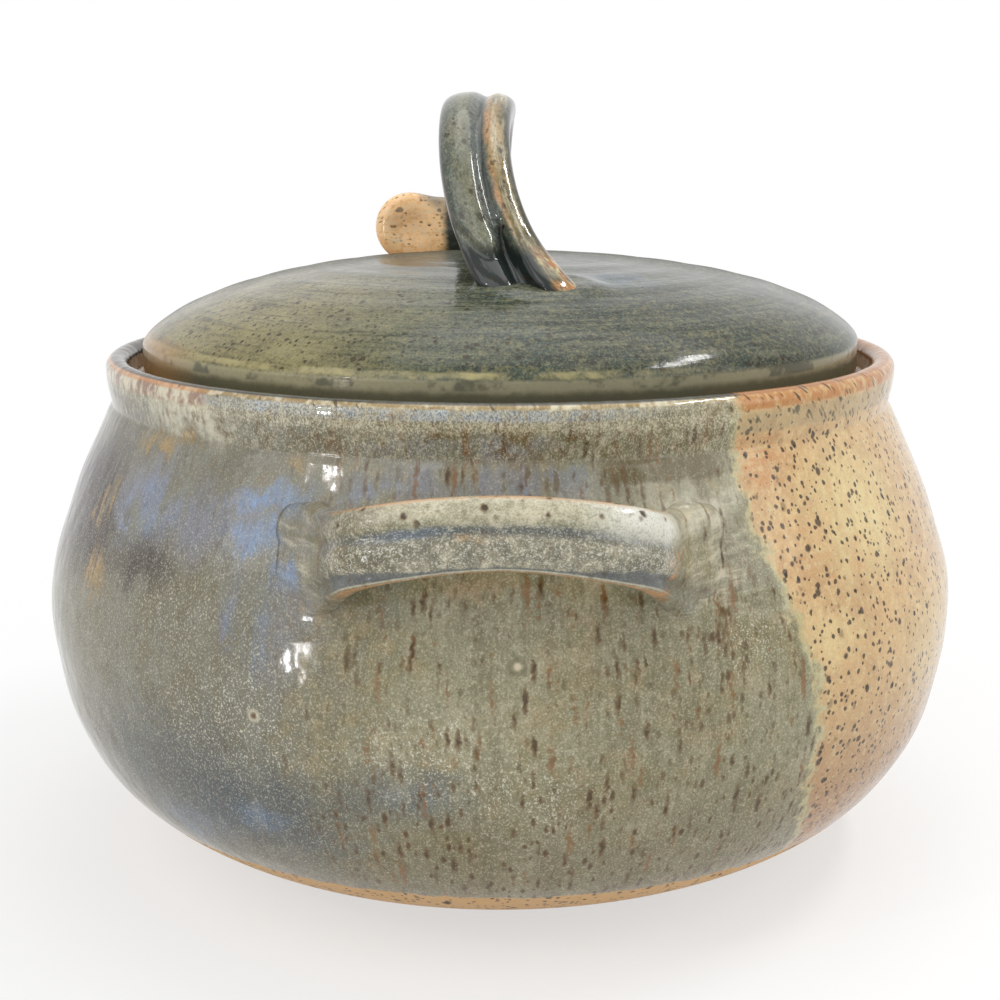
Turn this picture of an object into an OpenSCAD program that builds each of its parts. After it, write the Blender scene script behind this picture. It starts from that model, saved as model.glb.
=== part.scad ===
// Stoneware casserole dish with a lift-off lid.
// The pot is thrown with a gallery inside its lip.
// The domed lid drops into the gallery and rests on its ledge.
// Two pulled lug handles are luted to the shoulder, and a pulled strap arches over the lid.
// Origin: centre of the foot on the table. +Z is up, and -Y is the front.

/* [Pot] */
// Widest diameter of the belly
belly_d = 250; // [230:1:270]
// Height of the widest part of the belly
belly_z = 71; // [62:1:80]
// Outer diameter at the neck, where the shoulder meets the collar
neck_d = 213.5; // [204:0.5:222]
// Height of the neck
neck_z = 123; // [116:1:132]
// Height of the collar, from the neck to the top of the lip
collar_h = 12.5; // [11:0.5:16]
// How far the lip swells out past the neck
lip_swell = 0.8; // [0:0.2:2]
// Thickness of the lip
lip_t = 6; // [5:0.5:7]
// Thickness of the wall
wall_t = 6.5; // [5:0.5:8]
// Thickness of the floor
floor_t = 8; // [6:0.5:10]
// Outer diameter of the trimmed foot
foot_d = 144; // [130:1:156]
// Height of the trimmed foot
foot_h = 3; // [2:0.5:5]
// Width of the ring that the pot stands on
foot_ring_w = 11; // [8:0.5:16]
// Depth of the recess under the floor, inside the foot ring
foot_recess = 2.4; // [1:0.2:3]

/* [Gallery] */
// Depth of the gallery's ledge below the top of the lip
gallery_depth = 7.5; // [6:0.5:9]
// Width of the ledge that carries the lid
ledge_w = 10; // [9:0.5:13]
// Thickness of the ledge at its inner edge
ledge_t = 5; // [4:0.5:6]

/* [Lid] */
// Gap between the lid's edge and the inside of the lip
lid_gap = 3.8; // [1:0.2:5]
// Height of the lid's widest edge above the ledge
lid_edge_h = 10.5; // [8:0.5:13]
// Rise of the dome above the lid's widest edge
dome_rise = 22.5; // [16:0.5:28]
// Thickness of the dome
lid_t = 6.5; // [5:0.5:8]
// Radius that rounds the lid's edge down to its seat
lid_edge_r = 4; // [2.5:0.5:5]
// Width of the flat seat under the lid's edge
lid_seat_w = 7; // [5.5:0.5:9]

/* [Side handles] */
// Distance between the middles of a lug handle's two legs, next to the grip
lug_span = 63; // [56:1:70]
// How far each leg splays out sideways on its way to the wall
lug_splay = 12; // [8:0.5:14]
// How far the grip stands out from the wall between the roots
lug_stand = 28.5; // [26:0.5:32]
// Height of the roots' middle
lug_root_z = 103; // [99:0.5:105]
// Height of the grip at its two corners
lug_grip_z = 111.5; // [108:0.5:115]
// How far the grip arches up between its corners
lug_bow = 3; // [0:0.5:5]
// Width of the strap at the middle of the grip
lug_w = 15; // [12:0.5:18]
// Thickness of the strap
lug_t = 9; // [7.5:0.5:10.5]
// How far the strap's lower lip drops from the middle of the grip to the corners
lug_flare = 1.5; // [0:0.5:4]
// How far the lower lip drops further down the legs, as they spread on to the wall
lug_drop = 10; // [6:0.5:12]
// Depth of the finger groove along the strap
lug_groove = 1.3; // [0.6:0.1:1.8]

/* [Lid handle] */
// Width of the strap at the top of the arch
strap_w = 19.5; // [17:0.5:22]
// Width of the two legs, where the strap is pulled thinnest
strap_leg_w = 17; // [14:0.5:20]
// Thickness of the strap
strap_t = 9.5; // [8:0.5:11]
// Height of the strap's top above the top of the dome
strap_rise = 43; // [38:0.5:50]
// Distance of the front foot from the lid's axis
strap_front = 52; // [44:0.5:56]
// Distance of the back leg from the lid's axis
strap_back = 39; // [35:0.5:44]
// Offset of the arch to the left of the lid's axis
strap_offset = 5.5; // [0:0.5:10]
// How far the front foot swings out to the right of the arch
strap_swing = 16.5; // [10:0.5:20]
// How far the front leg bows to the left before it swings out
strap_bow = 4.5; // [0:0.5:6]
// Width of the front foot where it spreads on to the dome
strap_foot_w = 25; // [20:0.5:30]
// Reach of the turned tail to the left of the back leg
strap_tail = 32; // [28:0.5:38]
// Width of the tail's round end
strap_pad_w = 20.5; // [17:0.5:23]
// How deep the tail is pressed on to the dome
strap_press = 1.2; // [0.5:0.1:2]
// Depth of the groove along the strap's outer face at the top of the arch
strap_groove = 1.3; // [0.6:0.1:1.8]
// Depth of the same groove at the front foot
strap_foot_groove = 2.6; // [1.4:0.1:3]

/* [Luting] */
// How deep a strap's end is pressed past the surface that it is joined to, before it is cut to that surface
luting_depth = 5; // [4:0.5:6]

/* [Hidden] */

$fn = 144;
// Steps in one curved stretch of a thrown profile
profile_steps = 18;
// Points round a strap's section
section_points = 28;
// Rings along a lug handle, and along the rise, fall, turn and tail of the lid's strap
lug_rings = 40;
strap_rings = [20, 14, 12, 12];

belly_r = belly_d / 2;
neck_r = neck_d / 2;
foot_r = foot_d / 2;
lip_z = neck_z + collar_h;
lip_r = neck_r + lip_swell;
gallery_r = lip_r - lip_t;
ledge_z = lip_z - gallery_depth;
mouth_r = gallery_r - ledge_w;
floor_z = foot_h + floor_t;
lid_r = gallery_r - lid_gap;
lid_edge_z = ledge_z + lid_edge_h;
dome_z = lid_edge_z + dome_rise;
seat_out_r = lid_r - lid_edge_r;
seat_in_r = seat_out_r - lid_seat_w;

// Slope of the wall where it leaves the foot, in degrees above the table
base_slope = 22;
// Lean of the shoulder where it meets the neck, in degrees from upright
neck_lean = 23.5;
// Fullness of the curves: the share of each stretch's height or width over which the wall holds its direction
base_fullness = 0.35;
belly_fullness_low = 0.82;
belly_fullness_high = 0.31;
neck_fullness = 0.17;
dome_fullness = 0.81;
dome_edge_fullness = 0.16;
hollow_fullness = 0.55;
// Shape of a strap's section and of a lug handle's plan: 1 is an ellipse, and less is squarer
strap_squareness = 0.75;
lug_squareness = 0.34;
// Grooves of the lugs, as [depth, middle, half width]:
// a finger groove, and a narrow hollow above the lower lip.
// A middle and a half width are shares of half the strap's width.
lug_grooves = [[lug_groove, 0.1, 0.22], [0.7 * lug_groove, -0.72, 0.14]];
// Middle of the lid strap's groove at the front foot and at the top, and its half width, as the same shares
strap_groove_places = [0, 0.22];
strap_groove_half = 0.22;

// Control points of the outer wall, as [radius, height]
base_curve = [
    [foot_r, foot_h],
    [foot_r, foot_h] + base_fullness * (belly_r - foot_r) * [cos(base_slope), sin(base_slope)],
    [belly_r, belly_z - belly_fullness_low * (belly_z - foot_h)],
    [belly_r, belly_z]
];
shoulder_curve = [
    [belly_r, belly_z],
    [belly_r, belly_z + belly_fullness_high * (neck_z - belly_z)],
    [neck_r, neck_z] + neck_fullness * (neck_z - belly_z) * [sin(neck_lean), -cos(neck_lean)],
    [neck_r, neck_z]
];
// Control points of the lid's dome and of the hollow under it
dome_curve = [
    [0, dome_z],
    [dome_fullness * lid_r, dome_z],
    [lid_r, lid_edge_z + dome_edge_fullness * dome_rise],
    [lid_r, lid_edge_z]
];
hollow_curve = [
    [seat_in_r, ledge_z],
    [seat_in_r, ledge_z + hollow_fullness * (dome_z - lid_t - ledge_z)],
    [dome_fullness * seat_in_r, dome_z - lid_t],
    [0, dome_z - lid_t]
];

// Point and direction on a cubic curve of four control points
function bezier(p, t) = let (u = 1 - t)
    u * u * u * p[0] + 3 * u * u * t * p[1] + 3 * u * t * t * p[2] + t * t * t * p[3];
function bezier_dir(p, t) = let (u = 1 - t)
    unit(u * u * (p[1] - p[0]) + 2 * u * t * (p[2] - p[1]) + t * t * (p[3] - p[2]));
function unit(v) = v / norm(v);
function curve(p) = [for (i = [0:profile_steps]) bezier(p, i / profile_steps)];
// The same curve moved to its left by d, which is inwards on a wall that is followed upwards
function curve_inside(p, d) = [for (i = [0:profile_steps])
    let (v = bezier_dir(p, i / profile_steps)) bezier(p, i / profile_steps) + d * [-v.y, v.x]];
function arc(centre, r, from, to, steps) = [for (i = [0:steps])
    let (a = from + (to - from) * i / steps) centre + r * [cos(a), sin(a)]];
function without_first(list) = [for (i = [1:len(list) - 1]) list[i]];
function reversed(list) = [for (i = [len(list) - 1:-1:0]) list[i]];

wall_outside = concat(curve(base_curve), without_first(curve(shoulder_curve)));
wall_inside = concat(curve_inside(base_curve, wall_t), without_first(curve_inside(shoulder_curve, wall_t)));
dome_outside = curve(dome_curve);

// Outer radius of the wall at a height, and height of the dome at a radius
function wall_r(z) = lookup(z, [for (p = wall_outside) [p.y, p.x]]);
function dome_height(r) = lookup(r, dome_outside);

// Outline of the pot's half section, from the middle of the foot round the outside to the middle of the floor
pot_outline = concat(
    [[0, foot_recess], [foot_r - foot_ring_w, foot_recess], [foot_r - foot_ring_w, 0], [foot_r, 0]],
    wall_outside,
    arc([lip_r - lip_t / 2, lip_z - lip_t / 2], lip_t / 2, 0, 180, 12),
    [[gallery_r, ledge_z], [mouth_r, ledge_z], [mouth_r, ledge_z - ledge_t]],
    [for (p = reversed(wall_inside)) if (p.y > floor_z && p.y < ledge_z - ledge_t) p],
    [[wall_floor_r(), floor_z], [0, floor_z]]
);
// Radius at which the inside of the wall meets the floor
function wall_floor_r() = lookup(floor_z, [for (p = wall_inside) [p.y, p.x]]);

// Outline of the lid's half section, from the top of the dome round the edge and the seat to the hollow
lid_outline = concat(
    dome_outside,
    arc([seat_out_r, ledge_z + lid_edge_r], lid_edge_r, 0, -90, 6),
    curve(hollow_curve)
);

// Section of a pulled strap, as [across, outward] points: a flattened oval with grooves along its outer face.
// The lower half may be wider than the upper half.
function strap_section(w, w_low, t, grooves) = [for (i = [0:section_points - 1])
    let (
        a = 360 * i / section_points,
        u = sign(cos(a)) * pow(abs(cos(a)), strap_squareness),
        v = sign(sin(a)) * pow(abs(sin(a)), strap_squareness),
        depths = [for (g = grooves) g[0] * exp(-pow((u - g[1]) / g[2], 2))],
        cut = max(v, 0) * (depths * [for (g = grooves) 1])
    )
    [u * (u < 0 ? w_low : w) / 2, v * t / 2 - cut]];

// A closed solid through rings of points, each end closed by a fan from its middle
module loft(rings) {
    n = len(rings[0]);
    last = len(rings) - 1;
    middle = function (ring) [for (k = [0:2]) [for (p = ring) p[k]] * [for (p = ring) 1 / n]];
    points = concat([for (ring = rings) each ring], [middle(rings[0]), middle(rings[last])]);
    side = [for (j = [0:last - 1], i = [0:n - 1]) let (k = (i + 1) % n)
        each [[j * n + i, (j + 1) * n + i, j * n + k], [j * n + k, (j + 1) * n + i, (j + 1) * n + k]]];
    start = [for (i = [0:n - 1]) [len(points) - 2, i, (i + 1) % n]];
    end = [for (i = [0:n - 1]) [len(points) - 1, last * n + (i + 1) % n, last * n + i]];
    polyhedron(points, concat(side, start, end));
}

// Lug handle at the front. Its middle line is half a rounded oval in a plane that tilts up from the shoulder,
// with legs that splay towards the wall and a grip that arches up.
lug_root_x = lug_span / 2 + lug_splay;
lug_root_y = sqrt(pow(wall_r(lug_root_z), 2) - pow(lug_root_x, 2)) - luting_depth;
lug_out = luting_depth + lug_stand;
lug_tilt = atan2(lug_grip_z - lug_root_z, lug_out);
lug_depth = norm([lug_grip_z - lug_root_z, lug_out]);
// How the lower lip arches: 1 is half a wave, and more stays level for longer
lug_arch = 1.5;
lug_up = [0, sin(lug_tilt), cos(lug_tilt)];
lug_forward = [0, -cos(lug_tilt), sin(lug_tilt)];

// Share of the way from the root to the grip, and distance to the side, at an angle round the oval
function lug_share(a) = pow(max(cos(a), 0), lug_squareness);
function lug_side(a) = pow(abs(sin(a)), lug_squareness) * lug_span / 2 + lug_splay * pow(1 - lug_share(a), 2);
function lug_middle(a) = [sign(a) * lug_side(a), -lug_root_y, lug_root_z]
    + lug_forward * lug_depth * lug_share(a)
    + lug_up * lug_bow * max(1 - pow(2 * lug_side(a) / lug_span, 2), 0);
// Angle of a ring, with the rings spread about evenly along the oval
function lug_angle(i) =
    let (
        t = 2 * i / lug_rings - 1,
        near = pow(abs(t), 1 / lug_squareness),
        far = pow(1 - abs(t), 1 / lug_squareness)
    )
    sign(t) * 90 * near / (near + far);
function lug_ring(i) =
    let (
        a = lug_angle(i),
        next = lug_middle(lug_angle(min(i + 1, lug_rings))),
        along = unit(next - lug_middle(lug_angle(max(i - 1, 0)))),
        outward = unit(cross(along, lug_up)),
        lip_drop = lug_flare * pow(sin(90 * lug_side(a) / lug_root_x), lug_arch)
            + lug_drop * pow(1 - lug_share(a), 2),
        w_low = lug_w + 2 * lip_drop
    )
    [for (p = strap_section(lug_w, w_low, lug_t, lug_grooves))
        lug_middle(a) + p.x * lug_up + p.y * outward];

// Strap over the lid: up from the front foot, over the middle, down behind
// and round to the left as a flat tail.
strap_foot_x = strap_swing - strap_offset;
strap_foot_z = dome_height(norm([strap_foot_x, strap_front]));
strap_mid_z = dome_z + strap_rise - strap_t / 2;
strap_tail_z = dome_height(norm([strap_offset + strap_tail, strap_back])) + strap_pad_w / 2 - strap_press;
strap_end = [-strap_offset - strap_tail, strap_back, strap_tail_z];
// Radius of the turn into the tail, on the strap's middle line
strap_turn = 0.64 * strap_w;
// Share of the radius that shapes a cubic curve into a quarter of a circle
quarter_turn = 0.5523;
// Share of each half of the arch over which its top stays level
strap_level = 0.62;
// Share of the rise over which the front leg stands upright
strap_upright = 0.2;
// Height above the tail from which the back leg falls straight, in radii of the turn
strap_fall = 1.9;
// Share of the front leg's bow that is left where the arch levels out
strap_bow_left = 1 / 3;
// Angle by which the outer face of the front foot looks up
strap_foot_lean = 10;
strap_path = [
    [
        [strap_foot_x, -strap_front, strap_foot_z - luting_depth],
        [-strap_offset - strap_bow, -strap_front, dome_z + strap_upright * strap_rise],
        [-strap_offset - strap_bow_left * strap_bow, -strap_level * strap_front, strap_mid_z],
        [-strap_offset, 0, strap_mid_z]
    ],
    [
        [-strap_offset, 0, strap_mid_z],
        [-strap_offset, strap_level * strap_back, strap_mid_z],
        [-strap_offset, strap_back, strap_tail_z + strap_fall * strap_turn],
        [-strap_offset, strap_back, strap_tail_z + strap_turn]
    ],
    [
        [-strap_offset, strap_back, strap_tail_z + strap_turn],
        [-strap_offset, strap_back, strap_tail_z + (1 - quarter_turn) * strap_turn],
        [-strap_offset - (1 - quarter_turn) * strap_turn, strap_back, strap_tail_z],
        [-strap_offset - strap_turn, strap_back, strap_tail_z]
    ],
    straight([-strap_offset - strap_turn, strap_back, strap_tail_z], strap_end)
];
// A straight stretch, with its control points evenly spaced
function straight(from, to) = [for (i = [0:3]) from + (to - from) * i / 3];
// Direction that the strap's outer face looks, as an angle from the front over the top to the back
function strap_facing(s, t) = s == 0 ? mix(strap_foot_lean, 90, t) : s == 1 ? mix(90, 180, t) : 180;
function mix(from, to, t) = from + (to - from) * t;
// Width of the strap: a spread foot, thin legs, a wider arch and a round tail
function strap_width(s, t) =
    s == 0 ? strap_leg_w + (strap_foot_w - strap_leg_w) * pow(1 - t, 4) + (strap_w - strap_leg_w) * t * t
    : s == 1 ? mix(strap_w, strap_leg_w, t * t * (3 - 2 * t))
    : s == 2 ? mix(strap_leg_w, strap_pad_w, t * t * (3 - 2 * t))
    : strap_pad_w;
// Groove of the strap: deep at the front foot, and gone at the tip of the tail
function strap_groove_at(s, t) =
    s == 0 ? [mix(strap_foot_groove, strap_groove, t), mix(strap_groove_places[0], strap_groove_places[1], t),
        strap_groove_half]
    : [strap_groove * (s == 3 ? 1 - t : 1), strap_groove_places[1], strap_groove_half];
// Share of a round end's full size at a distance from its tip
function round_end(distance, radius) = sqrt(max(1 - pow(max(1 - distance / radius, 0), 2), 0.01));
function strap_ring(s, t) =
    let (
        middle = bezier(strap_path[s], t),
        along = bezier_dir(strap_path[s], t),
        look = [0, -cos(strap_facing(s, t)), sin(strap_facing(s, t))],
        outward = unit(look - (look * along) * along),
        across = s < 2 ? [1, 0, 0] : cross(along, outward),
        to_tip = norm(strap_end - middle),
        w = strap_width(s, t) * round_end(to_tip, strap_pad_w / 2),
        thick = strap_t * round_end(to_tip, strap_t / 2)
    )
    [for (p = strap_section(w, w, thick, [strap_groove_at(s, t)])) middle + p.x * across + p.y * outward];
// Rings crowd towards the tip of the tail, where the strap rounds off
function strap_step(s, i) = s == 3 ? sin(90 * i / strap_rings[s]) : i / strap_rings[s];

// Solids that the straps are cut to
module pot_filled() {
    rotate_extrude() polygon(concat([[0, foot_h]], wall_outside, [[0, neck_z]]));
}

module lid_filled() {
    bottom_z = ledge_z - luting_depth;
    rotate_extrude() polygon(concat(dome_outside, [[lid_r, bottom_z], [0, bottom_z]]));
}

module pot_body() {
    color("#8b8e7c") rotate_extrude() polygon(pot_outline);
}

module lug_handle() {
    difference() {
        loft([for (i = [0:lug_rings]) lug_ring(i)]);
        pot_filled();
    }
}

module front_handle() {
    color("#989a86") lug_handle();
}

module rear_handle() {
    color("#989a86") rotate([0, 0, 180]) lug_handle();
}

module lid() {
    color("#5d6a5f") rotate_extrude() polygon(lid_outline);
}

module lid_handle() {
    color("#66705f") difference() {
        loft([for (s = [0:3], i = [s == 0 ? 0 : 1:strap_rings[s]]) strap_ring(s, strap_step(s, i))]);
        lid_filled();
    }
}

pot_body();
front_handle();
rear_handle();
lid();
lid_handle();
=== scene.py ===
"""Stoneware casserole dish with a lift-off lid: the glazed model and its stage."""

import bpy
import numpy as np
from bpy.props import FloatProperty
from bpy.props import FloatVectorProperty
from bpy.props import PointerProperty
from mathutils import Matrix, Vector


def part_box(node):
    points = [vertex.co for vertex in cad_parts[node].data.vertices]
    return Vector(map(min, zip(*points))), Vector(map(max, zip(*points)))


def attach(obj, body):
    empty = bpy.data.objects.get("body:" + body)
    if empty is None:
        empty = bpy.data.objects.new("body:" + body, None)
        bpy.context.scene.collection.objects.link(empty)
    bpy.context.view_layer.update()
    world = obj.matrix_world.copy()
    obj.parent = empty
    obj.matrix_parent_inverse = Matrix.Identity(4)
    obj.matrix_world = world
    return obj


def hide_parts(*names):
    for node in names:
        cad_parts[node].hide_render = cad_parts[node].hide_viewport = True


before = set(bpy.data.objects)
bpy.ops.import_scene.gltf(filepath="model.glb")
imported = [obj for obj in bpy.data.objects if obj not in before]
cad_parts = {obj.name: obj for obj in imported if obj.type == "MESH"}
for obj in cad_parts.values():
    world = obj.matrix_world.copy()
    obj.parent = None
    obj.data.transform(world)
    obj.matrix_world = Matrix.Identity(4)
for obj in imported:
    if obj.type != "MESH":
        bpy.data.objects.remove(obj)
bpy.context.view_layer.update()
_, POT_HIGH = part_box("pot_body")
LID_LOW, LID_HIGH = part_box("lid")
MM = 0.001

# Points round a turned piece, sections along a lug, and points round the section of a lug and of the strap
AROUND = 400
LUG_RINGS = 220
LUG_AROUND = 104
STRAP_AROUND = 112

# Share of the luting depth that a handle's skin goes into the piece under it
BURIED = 0.6

# Radius in millimetres of the drum that the wall's patterns are laid on
PATTERN_RADIUS = 112

# Place, width and height in metres, and power in watts: three soft boxes, a window that shows on the lid,
# and a strip and a spark that glint on the left
LAMPS = {
    "key": ((-0.8, -0.65, 0.95), (1.1, 1.1), 5.6),
    "fill": ((0.9, -0.5, 0.7), (0.8, 0.8), 2.8),
    "top": ((0.1, 0.3, 1.3), (0.9, 0.9), 3.5),
    "window": ((0.56, 0.01, 0.97), (0.46, 0.06), 3.4),
    "strip": ((-0.78, -0.78, 0.15), (0.008, 0.24), 1.0),
    "spark": ((-0.7, -0.62, 0.66), (0.016, 0.016), 0.6),
}
LAMP_TARGET = (0, 0, 0.09)

# Light of the surround on the object, against 1 where it is seen directly
AMBIENT = 0.55
FLOOR_HALF = 6.0

# Camera: focal length of 1500 pixels on a square frame of 1000, place in metres and pitch down in degrees
SENSOR_MM = 36
LENS_MM = 54
CAMERA_PLACE = (0, -0.421, 0.186)
CAMERA_PITCH = 12.78

bl_info = {
    "name": "Stoneware casserole dish",
    "version": (1, 0, 0),
    "blender": (4, 5, 0),
    "location": "3D View > Sidebar > Casserole",
    "description": "Glazed skins for the casserole's pot, lid, lugs and strap, and a plain stage",
    "category": "Add Mesh",
}


# Properties

def length(name, value, description):
    """A size in metres."""
    return FloatProperty(name=name, description=description, default=value, subtype="DISTANCE",
                         unit="LENGTH")


def colour(name, code, description):
    """A colour written as an sRGB hex code, and kept as linear light."""
    levels = np.array([int(code[i:i + 2], 16) for i in (0, 2, 4)]) / 255
    linear = np.where(levels <= 0.04045, levels / 12.92, ((levels + 0.055) / 1.055) ** 2.4)
    return FloatVectorProperty(name=name, description=description, default=linear.tolist(), subtype="COLOR",
                               min=0, max=1)


class PotShape(bpy.types.PropertyGroup):
    """Sizes of the thrown pot."""
    belly_radius: length("Belly radius", POT_HIGH.x, "Widest radius of the belly")
    belly_height: length("Belly height", 71 * MM, "Height of the widest part of the belly")
    neck_radius: length("Neck radius", 106.75 * MM, "Radius where the shoulder meets the collar")
    neck_height: length("Neck height", 123 * MM, "Height where the shoulder meets the collar")
    lip_height: length("Lip height", POT_HIGH.z, "Height of the top of the lip")
    lip_swell: length("Lip swell", 0.8 * MM, "How far the lip stands out past the neck")
    lip_thickness: length("Lip thickness", 6 * MM, "Thickness of the lip")
    ledge_height: length("Ledge height", LID_LOW.z, "Height of the ledge that carries the lid")
    ledge_width: length("Ledge width", 10 * MM, "Width of the ledge")
    ledge_thickness: length("Ledge thickness", 5 * MM, "Thickness of the ledge at its inner edge")
    wall: length("Wall", 6.5 * MM, "Thickness of the wall")
    floor_height: length("Floor height", 11 * MM, "Height of the inside floor")
    foot_radius: length("Foot radius", 72 * MM, "Outer radius of the trimmed foot")
    foot_height: length("Foot height", 3 * MM, "Height of the trimmed foot")
    ring_width: length("Foot ring width", 11 * MM, "Width of the ring that the pot stands on")
    recess: length("Foot recess", 2.4 * MM, "Depth of the recess inside the foot ring")
    throwing: length("Throwing lines", 0.1 * MM, "Depth of the throwing lines on the wall")


class LidShape(bpy.types.PropertyGroup):
    """Sizes of the thrown lid."""
    radius: length("Lid radius", LID_HIGH.x, "Widest radius of the lid")
    seat_height: length("Seat height", LID_LOW.z, "Height of the seat under the lid's edge")
    dome_height: length("Dome height", LID_HIGH.z, "Height of the top of the dome")
    edge_height: length("Edge height", 138.5 * MM, "Height of the widest part of the edge")
    edge_radius: length("Edge rounding", 4 * MM, "Radius between the edge and the seat")
    seat_width: length("Seat width", 7 * MM, "Width of the flat seat")
    thickness: length("Dome thickness", 6.5 * MM, "Thickness of the dome")
    warp: length("Warp", 0.7 * MM, "How far the left of the dome sagged in the kiln")


class LugShape(bpy.types.PropertyGroup):
    """Sizes of the two pulled lug handles."""
    span: length("Leg span", 63 * MM, "Distance between the middles of the two legs, next to the grip")
    splay: length("Splay", 12 * MM, "How far each leg splays out sideways on its way to the wall")
    stand: length("Stand", 28.5 * MM, "How far the grip stands out from the wall")
    root_height: length("Root height", 103 * MM, "Height of the roots' middle")
    grip_height: length("Grip height", 111.5 * MM, "Height of the grip at its two corners")
    bow: length("Bow", 3 * MM, "How far the grip arches up between its corners")
    width: length("Width", 15 * MM, "Width of the strap at the grip")
    thickness: length("Thickness", 9 * MM, "Thickness of the strap")
    flare: length("Flare", 1.5 * MM, "How far the lower lip drops from mid grip to the corners")
    drop: length("Drop", 10 * MM, "How far the lower lip drops further down the legs")
    groove: length("Groove", 1.3 * MM, "Depth of the finger groove")
    luting: length("Luting depth", 5 * MM, "How far the roots reach into the wall")
    smear: length("Smear", 4 * MM, "How far the smoothed clay spreads round a root")


class StrapShape(bpy.types.PropertyGroup):
    """Sizes of the pulled strap on the lid."""
    width: length("Width", 19.5 * MM, "Width of the strap at the top of the arch")
    leg_width: length("Leg width", 17 * MM, "Width of the two legs")
    thickness: length("Thickness", 9.5 * MM, "Thickness of the strap")
    rise: length("Rise", 43 * MM, "Height of the strap's top above the dome")
    front: length("Front foot", 52 * MM, "Distance of the front foot from the lid's axis")
    back: length("Back leg", 39 * MM, "Distance of the back leg from the lid's axis")
    offset: length("Offset", 5.5 * MM, "Shift of the arch to the left of the lid's axis")
    swing: length("Swing", 16.5 * MM, "Swing of the front foot to the right of the arch")
    bow: length("Bow", 4.5 * MM, "How far the front leg bows to the left before it swings out")
    foot_width: length("Foot width", 25 * MM, "Width of the front foot on the dome")
    tail: length("Tail", 32 * MM, "Reach of the tail to the left of the back leg")
    pad_width: length("Pad width", 20.5 * MM, "Width of the tail's round end")
    press: length("Press", 1.2 * MM, "How deep the tail is pressed on to the dome")
    groove: length("Groove", 1.3 * MM, "Depth of the groove at the top of the arch")
    foot_groove: length("Foot groove", 2.6 * MM, "Depth of the groove at the front foot")
    luting: length("Luting depth", 5 * MM, "How far the front foot reaches into the dome")
    toe: length("Toe", 9 * MM, "How far the front foot is smeared forward on to the dome")
    dish: length("Thumb dish", 1.4 * MM, "Depth of the thumb press in the tail's front face")


class GlazeColours(bpy.types.PropertyGroup):
    """Colours of the clay and of the glazes poured over it."""
    sage: colour("Sage", "8c896e", "Grey-green glaze over most of the pot")
    # Deep sage is the glaze's own thin colour, and also painted shade low on the belly and in the neck's
    # crease
    sage_deep_and_shade: colour("Deep sage", "5e563c", "Where the sage glaze runs thin over the clay")
    ash: colour("Ash", "74736a", "Grey glaze on the left of the belly")
    # Slate is a real blue-grey glaze, and also painted shade in the lugs' hollows and low on their legs
    slate_and_shade: colour("Slate", "4a5156", "Blue-grey glaze in hollows and low on the left")
    blue: colour("Blue", "6e8cb4", "Rutile blue patches")
    lavender: colour("Lavender", "797c8a", "Lavender veil round the blue patches")
    plum: colour("Plum", "332a2c", "Brown-purple streaks at the far left")
    ochre: colour("Ochre", "9c8150", "Ochre streaks and halos")
    olive: colour("Olive", "63593a", "Olive stains round the collar")
    moss: colour("Moss", "756c40", "Yellow-green clouds in the sage glaze")
    buff: colour("Buff", "cdab7a", "Clear glaze over bare buff clay")
    straw: colour("Straw", "e0d29c", "Pale yellow-green flash on the buff clay")
    amber: colour("Amber", "bd7c42", "Orange where glaze breaks over an edge")
    # Blush is a real pink tone in the clay and on the collar, and also painted shade low on the buff side
    blush_and_shade: colour("Blush", "8a5c3a", "Pink flush at the bottom of the buff side")
    peach: colour("Peach", "ffd29a", "Clear glaze on the buff tail of the strap")
    cream: colour("Cream", "d8cfb4", "Thick pale glaze")
    # Frost is real crystals and haze, and also a painted highlight at the right end of the lugs' grip
    frost_and_highlight: colour("Frost", "d4d4c8", "White crystals and haze in the glaze")
    iron: colour("Iron", "2a1a0c", "Dark iron specks in the clay")
    # Rust is real rusty runs and stains, and also painted shade in the lip's inner half on the bare side and
    # a painted dark edge round the strap's tail
    rust_and_shade: colour("Rust", "5c4018", "Rusty runs below the larger specks")
    # Teal is the glazes' own dark teal, and also painted shade in the lip's inner half, low on the lid's
    # edge, towards the lid's back, under the strap and at its foot, and a painted dark edge along the strap
    teal_and_shade: colour("Teal", "18211d", "Dark teal glaze in the strap's hollows")
    mist: colour("Mist", "485248", "Grey-green glaze on the lid and the strap")
    khaki: colour("Khaki", "8c8358", "Olive-yellow glaze at the lid's left front")
    clay: colour("Clay", "c8a272", "Bare fired clay of the foot")


# Shapes

def bezier(points, t):
    """Cubic curve u^3 a + 3 u^2 t b + 3 u t^2 c + t^3 d, with u = 1 - t, at each t. One row for each t."""
    a, b, c, d = np.asarray(points, float)
    t = np.asarray(t, float)[:, None]
    u = 1 - t
    return u ** 3 * a + 3 * u * u * t * b + 3 * u * t * t * c + t ** 3 * d


def bezier_direction(points, t):
    """Unit direction of the same curve at each t."""
    a, b, c, d = np.asarray(points, float)
    t = np.asarray(t, float)[:, None]
    u = 1 - t
    return unit(u * u * (b - a) + 2 * u * t * (c - b) + t * t * (d - c))


def unit(vectors):
    """Each row divided by its length."""
    return vectors / np.linalg.norm(vectors, axis=-1, keepdims=True)


def smooth(values, low, high):
    """A soft step from 0 at low to 1 at high: t^2 (3 - 2 t)."""
    t = np.clip((values - low) / (high - low), 0, 1)
    return t * t * (3 - 2 * t)


def travel(points):
    """Distance from the first point of a line to each of its points."""
    return np.concatenate([[0], np.cumsum(np.linalg.norm(np.diff(points, axis=0), axis=1))])


def arc(centre, radius, start, stop, count):
    """Points on a circle from one angle to another, in degrees."""
    a = np.radians(np.linspace(start, stop, count))
    return np.asarray(centre) + radius * np.stack([np.cos(a), np.sin(a)], axis=1)


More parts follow.
